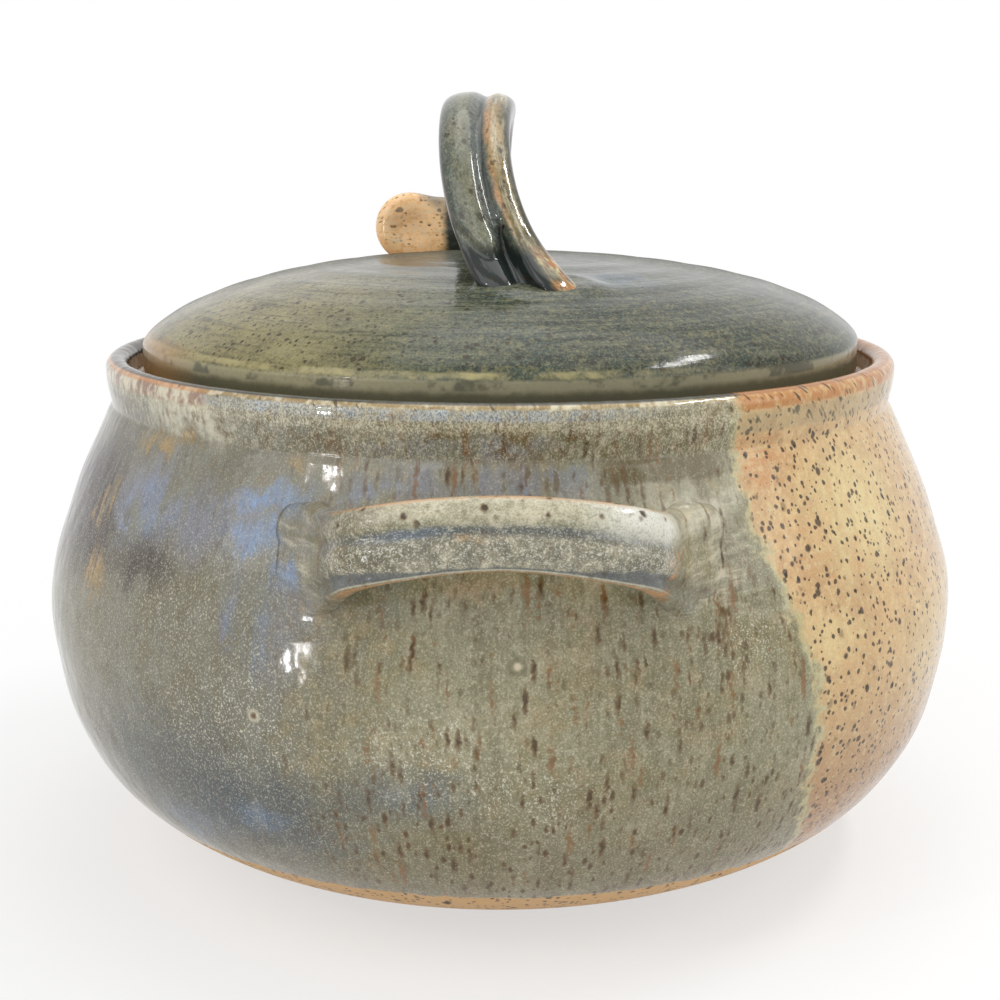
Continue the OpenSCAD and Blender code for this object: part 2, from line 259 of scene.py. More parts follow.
def moved_inside(points, t, distance):
    """The cubic curve moved to its left by a distance: inwards on a wall that is followed upwards."""
    v = bezier_direction(points, t)
    return bezier(points, t) + distance * np.stack([-v[:, 1], v[:, 0]], axis=1)


def wall_curves(pot):
    """Control points of the wall from foot to belly and from belly to neck, as radius and height."""
    foot = np.array([pot.foot_radius, pot.foot_height])
    belly = np.array([pot.belly_radius, pot.belly_height])
    neck = np.array([pot.neck_radius, pot.neck_height])
    slope = np.radians(22)
    lean = np.radians(23.5)
    run = 0.35 * (pot.belly_radius - pot.foot_radius)
    below = 0.82 * (belly[1] - foot[1])
    above = 0.31 * (neck[1] - belly[1])
    drop = 0.17 * (pot.neck_height - pot.belly_height)
    low = [foot, foot + run * np.array([np.cos(slope), np.sin(slope)]), belly - [0, below], belly]
    high = [belly, belly + [0, above], neck + drop * np.array([np.sin(lean), -np.cos(lean)]), neck]
    return low, high


def wall_radius(pot, height):
    """Outer radius of the wall at each height."""
    t = np.linspace(0, 1, 80)
    outside = np.vstack([bezier(c, t) for c in wall_curves(pot)])
    return np.interp(height, outside[:, 1], outside[:, 0])


def dome_curve(lid):
    """Control points of the dome, from its top to its widest edge."""
    rise = lid.dome_height - lid.edge_height
    return [[0, lid.dome_height], [0.81 * lid.radius, lid.dome_height],
            [lid.radius, lid.edge_height + 0.16 * rise], [lid.radius, lid.edge_height]]


def dome_height(lid, radius):
    """Height of the dome at a radius."""
    curve = bezier(dome_curve(lid), np.linspace(0, 1, 200))
    return np.interp(radius, curve[:, 0], curve[:, 1])


def pot_outline(pot):
    """Half section from the middle of the foot, up the outside, over the lip and down to the inside floor.

    Returns the points and the number of the first one that lies inside the lip.
    """
    low, high = wall_curves(pot)
    lip_r = pot.neck_radius + pot.lip_swell
    half_lip = pot.lip_thickness / 2
    gallery_r = lip_r - pot.lip_thickness
    mouth_r = gallery_r - pot.ledge_width
    ring_in = pot.foot_radius - pot.ring_width
    under_ledge = pot.ledge_height - pot.ledge_thickness
    inside = np.vstack([moved_inside(c, np.linspace(0, 1, 30), pot.wall) for c in (low, high)])
    inside = inside[(inside[:, 1] > pot.floor_height) & (inside[:, 1] < under_ledge)][::-1]
    soft = 1.2 * MM
    collar = [[pot.neck_radius, pot.neck_height], [pot.neck_radius - 0.6 * MM, pot.neck_height + 2.5 * MM],
              [lip_r, pot.lip_height - 9 * MM], [lip_r, pot.lip_height - half_lip]]
    gallery = [[gallery_r, pot.lip_height - half_lip], [gallery_r, pot.ledge_height + 2 * MM],
               [gallery_r, pot.ledge_height], [gallery_r - 2 * MM, pot.ledge_height]]
    outer = np.vstack([
        np.stack([np.linspace(0, ring_in - soft, 6), np.full(6, pot.recess)], axis=1),
        [[ring_in, pot.recess - soft], [ring_in + soft, 0]],
        [[pot.foot_radius - soft, 0]],
        arc([pot.foot_radius - soft, soft], soft, -60, 0, 4),
        bezier(low, np.linspace(0, 1, 64)),
        bezier(high, np.linspace(0, 1, 56))[1:],
        bezier(collar, np.linspace(0, 1, 16))[1:],
        arc([lip_r - half_lip, pot.lip_height - half_lip], half_lip, 0, 180, 22)[1:],
    ])
    inner = np.vstack([
        bezier(gallery, np.linspace(0, 1, 8))[1:],
        arc([mouth_r + soft, pot.ledge_height - soft], soft, 90, 180, 5),
        [[mouth_r, under_ledge]],
        inside,
        np.stack([np.linspace(inside[-1, 0] - 4 * MM, 0, 8), np.full(8, pot.floor_height)], axis=1),
    ])
    return np.vstack([outer, inner]), len(outer)


def lid_outline(lid):
    """Half section from the middle of the hollow, round the seat and edge and up to the dome's top.

    Returns the points and the number of the first one on the dome.
    """
    seat_out = lid.radius - lid.edge_radius
    seat_in = seat_out - lid.seat_width
    inner_top = lid.dome_height - lid.thickness
    hollow = [[0, inner_top], [0.81 * seat_in, inner_top],
              [seat_in, lid.seat_height + 0.55 * (inner_top - lid.seat_height)], [seat_in, lid.seat_height]]
    edge = arc([seat_out, lid.seat_height + lid.edge_radius], lid.edge_radius, -90, 0, 10)
    under = np.vstack([
        bezier(hollow, np.linspace(0, 1, 40)),
        np.stack([np.linspace(seat_in, seat_out, 6), np.full(6, lid.seat_height)], axis=1)[1:],
        edge[1:],
    ])
    return np.vstack([under, bezier(dome_curve(lid), np.linspace(1, 0, 130))]), len(under)


def turned(outline, count):
    """Radius, height and azimuth grids of an outline turned about Z.

    Azimuth 0 is the front, and it grows to the right.
    """
    a = np.linspace(0, 2 * np.pi, count, endpoint=False)
    radius = np.repeat(outline[:, :1], count, axis=1)
    height = np.repeat(outline[:, 1:], count, axis=1)
    return radius, height, np.repeat(a[None, :], len(outline), axis=0)


def turned_points(radius, height, azimuth):
    """Points of a turned surface: (r sin a, -r cos a, z)."""
    return np.stack([radius * np.sin(azimuth), -radius * np.cos(azimuth), height], axis=2)


def turned_faces(rows, count):
    """Quads between rings, and a fan at each end where the outline starts and stops on the axis."""
    ring = np.arange(count)
    after = (ring + 1) % count
    i = np.arange(1, rows - 2)[:, None] * count
    quads = np.stack([i + ring, i + after, i + count + after, i + count + ring], axis=2).reshape(-1, 4)
    first, last = 0, (rows - 1) * count
    start = np.stack([np.full(count, first), count + after, count + ring], axis=1)
    stop = np.stack([np.full(count, last), last - count + ring, last - count + after], axis=1)
    return quads.tolist() + start.tolist() + stop.tolist()


def loft_faces(rings, count):
    """Quads between closed rings that turn right-handed along their path, and a face over each end."""
    ring = np.arange(count)
    after = (ring + 1) % count
    i = np.arange(rings - 1)[:, None] * count
    quads = np.stack([i + ring, i + after, i + count + after, i + count + ring], axis=2).reshape(-1, 4)
    return quads.tolist() + [ring[::-1].tolist(), ((rings - 1) * count + ring).tolist()]


def strap_shares(count):
    """Shares u across and v outward round a flattened oval.

    They are the signs of the cosine and the sine times |cos|^k and |sin|^k.
    """
    a = np.linspace(0, 2 * np.pi, count, endpoint=False)
    squareness = 0.75
    return [np.sign(w) * np.abs(w) ** squareness for w in (np.cos(a), np.sin(a))]


def groove(u, v, depth, middle, half):
    """Depth of a groove along the outer half of a strap: depth v exp(-((u - middle) / half)^2)."""
    return np.maximum(v, 0) * depth * np.exp(-((u - middle) / half) ** 2)


def lug_grid(pot, lug, rings, count):
    """Points of the front lug, with the shares u and v of its section and its way to the side.

    At an angle a from -90 to 90 degrees the middle line lies cos(a)^k of the way out from the roots to the
    grip, in a plane that tilts up, and to the side by |sin a|^k times half the span, plus the splay times
    (1 - cos(a)^k)^2. Between the legs it arches up by the bow times 1 - (side / half span)^2. The lower half
    of the section widens down the legs, and all of it swells where its clay is smeared on to the wall.
    """
    squareness = 0.34
    root_x = lug.span / 2 + lug.splay
    root_y = np.sqrt(wall_radius(pot, lug.root_height) ** 2 - root_x ** 2) - lug.luting
    out = lug.luting + lug.stand
    rise = lug.grip_height - lug.root_height
    tilt, depth = np.arctan2(rise, out), np.hypot(rise, out)
    up = np.array([0, np.sin(tilt), np.cos(tilt)])
    forward = np.array([0, -np.cos(tilt), np.sin(tilt)])

    def middle_line(a):
        way = np.maximum(np.cos(a), 0) ** squareness
        side = np.abs(np.sin(a)) ** squareness * lug.span / 2 + lug.splay * (1 - way) ** 2
        arch = lug.bow * np.maximum(1 - (2 * side / lug.span) ** 2, 0)
        line = np.array([0, -root_y, lug.root_height]) + (depth * way)[:, None] * forward
        return line + arch[:, None] * up + (np.sign(a) * side)[:, None] * [1, 0, 0], side, way

    fine = np.linspace(-np.pi / 2, np.pi / 2, 20001)
    far = travel(middle_line(fine)[0])
    a = np.interp(np.linspace(0, far[-1], rings), far, fine)
    middle, side, way = middle_line(a)
    along = unit(np.gradient(middle, axis=0))
    outward = unit(np.cross(along, up))
    gap = np.hypot(middle[:, 0], middle[:, 1]) - wall_radius(pot, middle[:, 2])
    spread = np.exp(-np.maximum(gap, 0) / lug.smear)[:, None]
    u, v = strap_shares(count)
    lip_drop = (lug.flare * np.sin(np.pi / 2 * side / root_x) ** 1.5 + lug.drop * (1 - way) ** 2)[:, None]
    wide = lug.width / 2 + np.where(u < 0, lip_drop, 0) + spread * np.where(u < 0, 1.0, 2.5) * MM
    thick = lug.thickness / 2 + spread * 2.0 * MM
    corner = smooth(np.abs(middle[:, :1]), 0.36 * lug.span, 0.5 * lug.span)
    finger = groove(u, v, lug.groove * (1 - 0.35 * corner), 0.08, 0.2)
    hollow = groove(u, v, (0.7 + 0.6 * corner) * lug.groove, -0.74, 0.14)
    off = thick * v - finger - hollow
    points = middle[:, None] + (wide * u)[..., None] * up + off[..., None] * outward[:, None]

    # The roots stop inside the wall
    deepest = wall_radius(pot, points[..., 2]) - BURIED * lug.luting
    points[..., :2] *= np.maximum(deepest / np.hypot(points[..., 0], points[..., 1]), 1)[..., None]
    return points, u, v, middle[:, 0] / root_x


def strap_grid(strap, lid, count):
    """Points of the strap over the lid from tail to foot, with the shares u and v and the way along it.

    The middle line is four cubic stretches: the rise from the front foot, the fall behind, a quarter turn to
    the left and a straight tail. The outer face looks forward at the foot, up at the top and back behind.
    """
    left, back = -strap.offset, strap.back
    foot_x = strap.swing - strap.offset
    foot_z = dome_height(lid, np.hypot(foot_x, strap.front))
    mid_z = lid.dome_height + strap.rise - strap.thickness / 2
    tail_z = dome_height(lid, np.hypot(strap.offset + strap.tail, back)) + strap.pad_width / 2 - strap.press
    turn = 0.64 * strap.width
    level = 0.62
    circle_handle = 0.5523
    bent = 1 - circle_handle
    tip = np.array([left - strap.tail, back, tail_z])
    bend = np.array([left - turn, back, tail_z])
    stretches = [
        [[foot_x, -strap.front, foot_z - strap.luting],
         [left - strap.bow, -strap.front, lid.dome_height + 0.2 * strap.rise],
         [left - strap.bow / 3, -level * strap.front, mid_z], [left, 0, mid_z]],
        [[left, 0, mid_z], [left, level * back, mid_z],
         [left, back, tail_z + 1.9 * turn], [left, back, tail_z + turn]],
        [[left, back, tail_z + turn], [left, back, tail_z + bent * turn],
         [left - bent * turn, back, tail_z], bend],
        [bend, bend + (tip - bend) / 3, bend + (tip - bend) * 2 / 3, tip],
    ]
    rise, fall, quarter = np.linspace(0, 1, 120), np.linspace(0, 1, 60)[1:], np.linspace(0, 1, 40)[1:]
    straight = np.sin(np.linspace(0, np.pi / 2, 60))[1:]
    steps = [rise, fall, quarter, straight]
    middle = np.vstack([bezier(p, t) for p, t in zip(stretches, steps)])
    along = np.vstack([bezier_direction(p, t) for p, t in zip(stretches, steps)])
    turned_back = np.full(len(quarter) + len(straight), 180)
    facing = np.radians(np.concatenate([10 + 80 * rise, 90 + 90 * fall, turned_back]))
    look = np.stack([0 * facing, -np.cos(facing), np.sin(facing)], axis=1)
    outward = unit(look - np.sum(look * along, axis=1, keepdims=True) * along)
    across = np.cross(along, outward)
    across[:len(rise) + len(fall)] = [1, 0, 0]

    to_tip = np.linalg.norm(tip - middle, axis=1)
    width = np.concatenate([
        strap.leg_width + (strap.foot_width - strap.leg_width) * (1 - rise) ** 4
        + (strap.width - strap.leg_width) * rise ** 2,
        strap.width + (strap.leg_width - strap.width) * smooth(fall, 0, 1),
        strap.leg_width + (strap.pad_width - strap.leg_width) * smooth(quarter, 0, 1),
        np.full(len(straight), strap.pad_width),
    ]) * round_end(to_tip, strap.pad_width / 2)
    thick = strap.thickness * round_end(to_tip, strap.thickness / 2)
    arch = np.concatenate([rise, np.ones(len(middle) - len(rise))])
    fade = np.concatenate([np.ones(len(middle) - len(straight)), 1 - straight])
    depth = (strap.foot_groove + (strap.groove - strap.foot_groove) * arch) * fade
    u, v = strap_shares(count)
    cut = groove(u, v, depth[:, None], 0.22 * arch[:, None], 0.2)
    points = middle[:, None] + (width[:, None] / 2 * u)[..., None] * across[:, None]

    # The left roll ends in a tongue above the foot, and the tail's front face is dished by a thumb
    edge = foot_z + 7 * MM + 5 * MM * ((u + 0.35) / 0.5) ** 2
    low = smooth(edge - middle[:, 2:], -0.6 * MM, 1.6 * MM) * (arch < 0.5)[:, None]
    tongue = 3.0 * MM * np.maximum(v, 0) * low * smooth(u, 0.35, 0.1)
    pad = tip + np.array([strap.pad_width / 2, 0, 0])
    centre = np.hypot(points[..., 0] - pad[0], points[..., 2] - pad[2]) / (7 * MM)
    behind = (arch == 1)[:, None] * (middle[:, 1:2] > 0)
    thumb = strap.dish * np.maximum(-v, 0) * np.exp(-centre ** 2) * behind
    off = thick[:, None] / 2 * v - cut - tongue + thumb
    points = points + off[..., None] * outward[:, None]

    # The tail's upper edge dips beside the leg
    beside = smooth(points[..., 0], bend[0] - 9 * MM, bend[0]) * behind
    points[..., 2] -= 1.3 * MM * beside * np.maximum(-u, 0) * (middle[:, 2:] < tail_z + turn)

    # The foot is smeared forward on to the dome, and to the right
    smeared = smooth(middle[:, 2:] - foot_z, 14 * MM, 0) ** 2 * (arch < 0.5)[:, None] * (0.5 + 0.5 * v)
    forward = np.stack([0.3 * np.maximum(u, 0), -np.ones(count), np.full(count, -0.22)], axis=1)
    points = points + strap.toe * smeared[..., None] * forward
    deepest = dome_height(lid, np.hypot(points[..., 0], points[..., 1])) - BURIED * strap.luting
    points[..., 2] = np.maximum(points[..., 2], deepest)
    way = travel(middle)
    return points[::-1], u, v, way[::-1]


def round_end(distance, radius):
    """Share of a round end's full size at a distance from its tip: a half circle."""
    return np.sqrt(np.maximum(1 - np.maximum(1 - distance / radius, 0) ** 2, 1e-4))


def add_piece(name, points, faces, layers, material):
    """A smooth mesh object at the origin, with one number for each point in every named layer."""
    mesh = bpy.data.meshes.new(name)
    mesh.from_pydata(points.reshape(-1, 3), [], faces)
    mesh.shade_smooth()
    for layer, values in layers.items():
        values = np.broadcast_to(values, points.shape[:2])
        data = mesh.attributes.new(layer, "FLOAT", "POINT").data
        data.foreach_set("value", values.ravel().astype(np.float32))
    mesh.materials.append(material)
    mesh.validate()
    piece = bpy.data.objects.new(name, mesh)
    bpy.context.scene.collection.objects.link(piece)
    return piece


def dress(piece, node, body):
    """The piece stands for a node and rides on its body."""
    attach(piece, body)
    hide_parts(node)


# Node trees

class Wire:
    """A node's output that Python's operators work on. Each operator adds a Math node."""

    def __init__(self, nodes, socket):
        self.nodes = nodes
        self.socket = socket

    def other(self, output):
        """Another output of the same node."""
        return Wire(self.nodes, self.socket.node.outputs[output])

    def math(self, operation, *values):
        return self.nodes.node("ShaderNodeMath", {"operation": operation}, dict(enumerate(values)))

    def __add__(self, other):
        return self.math("ADD", self, other)

    __radd__ = __add__

    def __sub__(self, other):
        return self.math("SUBTRACT", self, other)

    def __rsub__(self, other):
        return self.math("SUBTRACT", other, self)

    def __mul__(self, other):
        return self.math("MULTIPLY", self, other)

    __rmul__ = __mul__

    def __abs__(self):
        return self.math("ABSOLUTE", self)


class Nodes:
    """The node tree of a material or a world, which starts empty."""

    def __init__(self, owner):
        owner.use_nodes = True
        self.tree = owner.node_tree
        self.tree.nodes.clear()

    def node(self, kind, settings=None, inputs=None, output=0):
        """A node of a type, with its settings and then its sockets' values or links. Returns one output."""
        node = self.tree.nodes.new(kind)
        for key, value in (settings or {}).items():
            setattr(node, key, value)
        for key, value in (inputs or {}).items():
            if isinstance(value, Wire):
                self.tree.links.new(value.socket, node.inputs[key])
            else:
                node.inputs[key].default_value = value
        return Wire(self, node.outputs[output]) if node.outputs else None

    def seen_directly(self):
        """1 for camera, glossy and transmission rays, and 0 for the rays that light the object."""
        camera = self.node("ShaderNodeLightPath")
        total = camera + camera.other("Is Glossy Ray") + camera.other("Is Transmission Ray")
        return total.math("MINIMUM", total, 1.0)


class Glaze(Nodes):
    """The node tree of one material, with the base colour so far. Lengths are in millimetres."""

    def __init__(self, name):
        self.material = bpy.data.materials.new(name)
        super().__init__(self.material)
        self.base = None
        place = self.node("ShaderNodeTexCoord", output="Object")
        self.place = self.vector("SCALE", {0: place, "Scale": 1 / MM})
        self.x, self.y, self.z = self.split(self.place)

    def vector(self, operation, inputs, output=0):
        """A Vector Math node."""
        return self.node("ShaderNodeVectorMath", {"operation": operation}, inputs, output)

    def split(self, vector):
        """The three numbers of a vector or colour."""
        first = self.node("ShaderNodeSeparateXYZ", inputs={0: vector})
        return first, first.other(1), first.other(2)

    def join(self, *numbers):
        """A vector of two or three numbers."""
        return self.node("ShaderNodeCombineXYZ", inputs=dict(enumerate(numbers)))

    def layer(self, name):
        """A number stored on the mesh."""
        return self.node("ShaderNodeAttribute", {"attribute_name": name}, output="Fac")

    def away(self):
        """Distance from the axis."""
        return self.vector("LENGTH", {0: self.join(self.x, self.y)}, "Value")

    def azimuth(self):
        """Degrees round the axis from the front, growing to the right."""
        return self.x.math("ARCTAN2", self.x, 0 - self.y) * np.degrees(1)

    def follow_wall(self, radius):
        """Lay the patterns on a drum of a radius, at the height of the mesh's own path up the wall."""
        x, y, _ = self.split(self.vector("NORMALIZE", {0: self.join(self.x, self.y)}))
        self.place = self.join(x * radius, y * radius, self.layer("path"))

    def follow_strap(self):
        """Lay the patterns along a strap: across it, through it and along it."""
        self.place = self.join(self.layer("across") * 10, self.layer("face") * 5, self.layer("along"))

    def grains(self, wide, high, shift, tremor=0):
        """The place, measured in grains of a width and a height, and shaken by up to half a tremor."""
        place = self.place
        if tremor:
            shake = self.noise(1.4, 1.4, 1.0, 0.55, output="Color")
            place = self.vector("MULTIPLY_ADD", {0: shake, 1: (tremor,) * 3, 2: place})
        count = (1 / wide, 1 / wide, 1 / high)
        return self.vector("MULTIPLY_ADD", {0: place, 1: count, 2: (shift,) * 3})

    def noise(self, wide, high, detail=3.0, roughness=0.6, shift=0.0, output=0):
        """Cloudy noise from 0 to 1, with grains of a width along X and Y and a height along Z."""
        return self.node("ShaderNodeTexNoise", inputs={
            "Vector": self.grains(wide, high, shift), "Scale": 1.0, "Detail": detail,
            "Roughness": roughness}, output=output)

    def specks(self, wide, high, least, most, shift=0.0, tremor=0.8, soft=0.07):
        """Ragged specks, one in each cell of a size, with random radii between two shares of the cell.

        A cell whose radius comes out below 0 has no speck.
        """
        place = self.grains(wide, high, shift, tremor)
        far = self.node("ShaderNodeTexVoronoi", inputs={"Vector": place, "Scale": 1.0})
        luck = self.split(far.other("Color"))[0]
        return self.ramp(far - luck * (most - least) - least, soft, -soft)

    def grit(self, base, grain, pale, dark, amount):
        """A colour broken up by a grain: paler where the grain is high, and darker where it is low."""
        base = self.mix(self.ramp(grain, 0.5, 0.68, amount), base, pale)
        return self.mix(self.ramp(grain, 0.5, 0.32, amount), base, dark)

    def lay(self, share, colour):
        """Lay a share of a colour over the base."""
        self.base = self.mix(share, self.base, colour)

    def speckle(self, grain, pale, dark, amount):
        """Break up the base by a grain."""
        self.base = self.grit(self.base, grain, pale, dark, amount)

    def ramp(self, value, low, high, full=1.0):
        """A soft step from 0 at low to full at high."""
        return self.node("ShaderNodeMapRange", {"interpolation_type": "SMOOTHSTEP"}, {
            "Value": value, "From Min": low, "From Max": high, "To Max": full})

    def band(self, value, low, high, soft, full=1.0):
        """Full between low and high, with soft ends."""
        return self.ramp(value, low - soft, low + soft, full) * self.ramp(value, high + soft, high - soft)

    def patches(self, chart, *places):
        """Soft round patches on a chart, each as middle, half size and strength, added together."""
        total = 0
        for (x, y), (wide, high), strength in places:
            size = (1 / wide, 1 / high, 0)
            off = self.vector("MULTIPLY_ADD", {0: chart, 1: size, 2: (-x / wide, -y / high, 0)})
            far = self.vector("LENGTH", {0: off}, "Value")
            total = self.ramp(far, 1.0, 0.15, strength) + total
        return total

    def spot(self, azimuth, height, at_azimuth, at_height):
        """Distance along the belly, in mm, from a place on it."""
        mm_per_degree = 2.1
        across = (azimuth - at_azimuth) * mm_per_degree
        return self.vector("LENGTH", {0: self.join(across, height - at_height)}, "Value")

    def mix(self, share, first, second):
        """A colour between two."""
        sockets = {0: share, 6: shade(first), 7: shade(second)}
        return self.node("ShaderNodeMix", {"data_type": "RGBA"}, sockets, 2)

    def finish(self, roughness, height, depth, level=0.5):
        """A glossy glaze of the base colour, with a roughness, a specular level and relief of a depth."""
        bump = self.node("ShaderNodeBump", inputs={
            "Height": height, "Distance": depth * MM, "Strength": 1.0})
        surface = self.node("ShaderNodeBsdfPrincipled", inputs={
            "Base Color": self.base, "Roughness": roughness, "Normal": bump, "IOR": 1.45,
            "Specular IOR Level": level})
        self.node("ShaderNodeOutputMaterial", inputs={"Surface": surface})
        return self.material


def shade(value):
    """A colour ready for a socket: a link as it is, or red, green and blue with full alpha."""
    return value if isinstance(value, Wire) else (*value, 1.0)


# Glazes

def wall_patterns(g):
    """Azimuth, height, noises laid round the wall, the glaze's flow and a chart that flows with it."""
    a = g.azimuth()
    z = g.z
    g.follow_wall(PATTERN_RADIUS)
    run = g.noise(8, 46, roughness=0.55)
    streak = g.noise(1.5, 17)
    cloud = g.noise(12, 15)
    haze = g.noise(14, 22, shift=5.0)
    mottle = g.noise(3.6, 4.6)
    curd = g.noise(1.4, 1.8, 2)
    grain = g.noise(0.42, 0.52, 2, 0.75)
    flow = (run - 0.5) * 12 + (mottle - 0.5) * 7
    chart = g.join(a + flow, z + flow * 1.2)
    return a, z, run, streak, cloud, haze, mottle, curd, grain, flow, chart


def belly_glaze(g, c, patterns):
    """Lay the sage, ash and blue glazes that run down the belly and over the lugs' legs."""
    a, z, run, streak, cloud, haze, mottle, curd, grain, flow, chart = patterns

    # Sage body of the glaze: olive clouds, brown thin runs and a pale haze, and painted shade that darkens it
    # towards the bottom
    g.base = g.mix(g.ramp(cloud, 0.42, 0.66, 0.55), c.sage, c.moss)
    g.lay(g.ramp(run + streak * 0.6, 0.7, 0.98, 0.45), c.sage_deep_and_shade)
    g.lay(g.ramp(haze, 0.48, 0.68, 0.2), c.cream)
    g.lay(g.ramp(mottle + cloud * 0.6, 0.75, 1.05, 0.3), g.mix(0.4, c.clay, c.ash))
    # Painted shade: deep sage darkens the belly towards the bottom
    g.lay(g.ramp(z, 66, 36, 0.5), c.sage_deep_and_shade)
    g.speckle(curd, c.cream, c.sage_deep_and_shade, 0.1)

    # Ash on the left of the belly, slate low down
    left = g.ramp(a + flow * 2.5, -8, -26) * g.ramp(a, -172, -150)
    g.lay(left * 0.8, g.mix(g.ramp(mottle + cloud, 0.8, 1.2, 0.5), c.ash, c.sage_deep_and_shade))
    low_left = g.patches(chart, ((-38, 46), (22, 30), 0.75), ((-24, 42), (14, 18), 0.7),
                         ((-10, 52), (11, 11), 0.7))
    g.lay(low_left * g.ramp(cloud + run, 0.5, 1.05), c.slate_and_shade)

    # Lavender veil over the left shoulder, a thin one above the lug, and soft blue patches in it
    veil = g.patches(chart, ((-42, 108), (22, 15), 0.9), ((-4, 117), (24, 9), 0.85),
                     ((-4, 126), (18, 4), 0.6), ((-25, 88), (9, 22), 0.5))
    g.lay(veil * g.ramp(streak * 0.5 + haze + run * 0.5, 0.75, 1.15), c.lavender)
    blue = g.patches(chart, ((-26, 113), (9, 4), 0.9), ((-28.5, 105), (5, 6), 0.8), ((-24, 98), (4, 5), 0.7),
                     ((-46, 107), (8, 9), 0.4), ((-47, 101), (5, 6), 0.4), ((-26.5, 85), (4, 15), 0.5),
                     ((-38, 34), (9, 9), 0.35), ((-27, 41), (5, 6), 0.3), ((-9, 52), (6, 6), 0.12),
                     ((-14.5, 116.5), (4, 2.5), 0.5), ((6, 119), (4, 2.5), 0.3), ((-104, 92), (16, 16), 0.7))
    g.lay(blue * g.ramp(streak * 0.4 + haze * 0.6 + mottle * 0.3, 0.45, 0.8), c.blue)

    # Plum, ochre and orange at the far left, and an orange stain under the collar
    plum = g.patches(chart, ((-62, 104), (13, 26), 1.0), ((-55, 96), (8, 15), 0.8), ((-44, 95), (8, 9), 0.8),
                     ((-74, 100), (14, 26), 1.0), ((-140, 100), (22, 22), 0.8))
    g.lay(plum * g.ramp(streak + run, 0.6, 0.9), c.plum)
    ochre = g.patches(chart, ((-54, 89), (5, 9), 0.9), ((-56.5, 104), (2.5, 9), 0.8),
                      ((-47, 121), (9, 3.2), 0.9), ((-24, 121), (3, 3), 0.6))
    g.lay(ochre * g.ramp(streak + mottle * 0.4, 0.5, 0.8), c.ochre)

    # Olive band on the right shoulder, thick pale glaze round the right root and on the collar's left
    band = g.band(a + flow, 11, 27, 3) * g.band(z + flow * 0.15, 118, 123, 0.6)
    g.lay(band * g.ramp(mottle + run, 0.65, 1.0, 0.9), c.olive)
    pale = g.patches(chart, ((23, 112), (8, 6), 1.0), ((23, 101), (5, 13), 0.6), ((-42, 128), (19, 7), 1.0))
    g.lay(pale * g.ramp(streak * 0.5 + haze, 0.5, 0.9, 0.65), g.mix(0.4, c.cream, c.frost_and_highlight))

    # Crystals in the thick glaze, and a fine grain all over
    thick = g.patches(chart, ((-27, 66), (13, 22), 0.9), ((-8, 62), (10, 15), 1.0), ((3, 53), (9, 13), 0.9),
                      ((26, 84), (6, 10), 0.9), ((-38, 88), (10, 10), 0.45)) + 0.12
    crystals = g.ramp(grain + (curd - 0.5) * 0.3, 0.56, 0.68) * thick
    g.lay(crystals * 0.75, c.frost_and_highlight)
    g.speckle(grain, c.cream, c.sage_deep_and_shade, g.ramp(z, 112, 100, 0.14) + 0.18)

    # Thin glaze under the lug, and a brown trail beside its right root
    thin = g.patches(chart, ((-1, 99.5), (18, 3), 0.5), ((-19, 93), (6, 5), 0.4))
    g.lay(thin * g.ramp(mottle + cloud * 0.5, 0.5, 0.9, 0.7), g.mix(0.4, c.clay, c.ash))
    trail = g.patches(chart, ((23.5, 91), (1.6, 11), 0.9), ((27, 96), (1.2, 6), 0.6))
    g.lay(trail * g.ramp(streak + mottle * 0.4, 0.4, 0.7), c.rust_and_shade)
    smears = g.noise(9, 1.6)
    g.speckle(smears, c.cream, c.sage_deep_and_shade, g.patches(chart, ((25, 102), (7, 16), 0.5)))

    # Rusty runs and specks that drag down the wall, closest together low on the right
    run_side = g.ramp(a + flow, -26, -8) * 0.8 + 0.2
    trails = g.specks(2.2, 18, -0.15, 0.32, 2.0, 2.0, 0.14)
    g.lay(trails * run_side * g.ramp(streak, 0.3, 0.5, 0.75), g.mix(0.75, c.amber, c.rust_and_shade))
    marks = run_side * g.ramp(mottle, 0.2, 0.45)
    g.lay(marks * g.specks(1.8, 8, -0.1, 0.4, 3.0, 1.2, 0.12) * 0.7, c.rust_and_shade)
    g.lay(marks * g.specks(1.8, 8, -0.26, 0.24, 3.0, 1.2) * 0.6, c.iron)
    above = g.band(z, 113, 123, 2) * g.band(a, -22, 26, 4)
    g.lay(above * g.specks(2.2, 9, -0.1, 0.38, 14.0, 1.2, 0.12) * 0.6, c.rust_and_shade)
    low = g.ramp(z + flow, 66, 46, 0.6) + g.patches(chart, ((24, 78), (8, 26), 0.4)) + 0.35
    g.lay(low * run_side * g.specks(1.4, 3.2, -0.2, 0.46, 9.0, 0.8, 0.1) * 0.8, c.rust_and_shade)
    g.lay(low * run_side * g.specks(1.4, 3.2, -0.4, 0.32, 9.0, 0.8) * 0.5, c.iron)


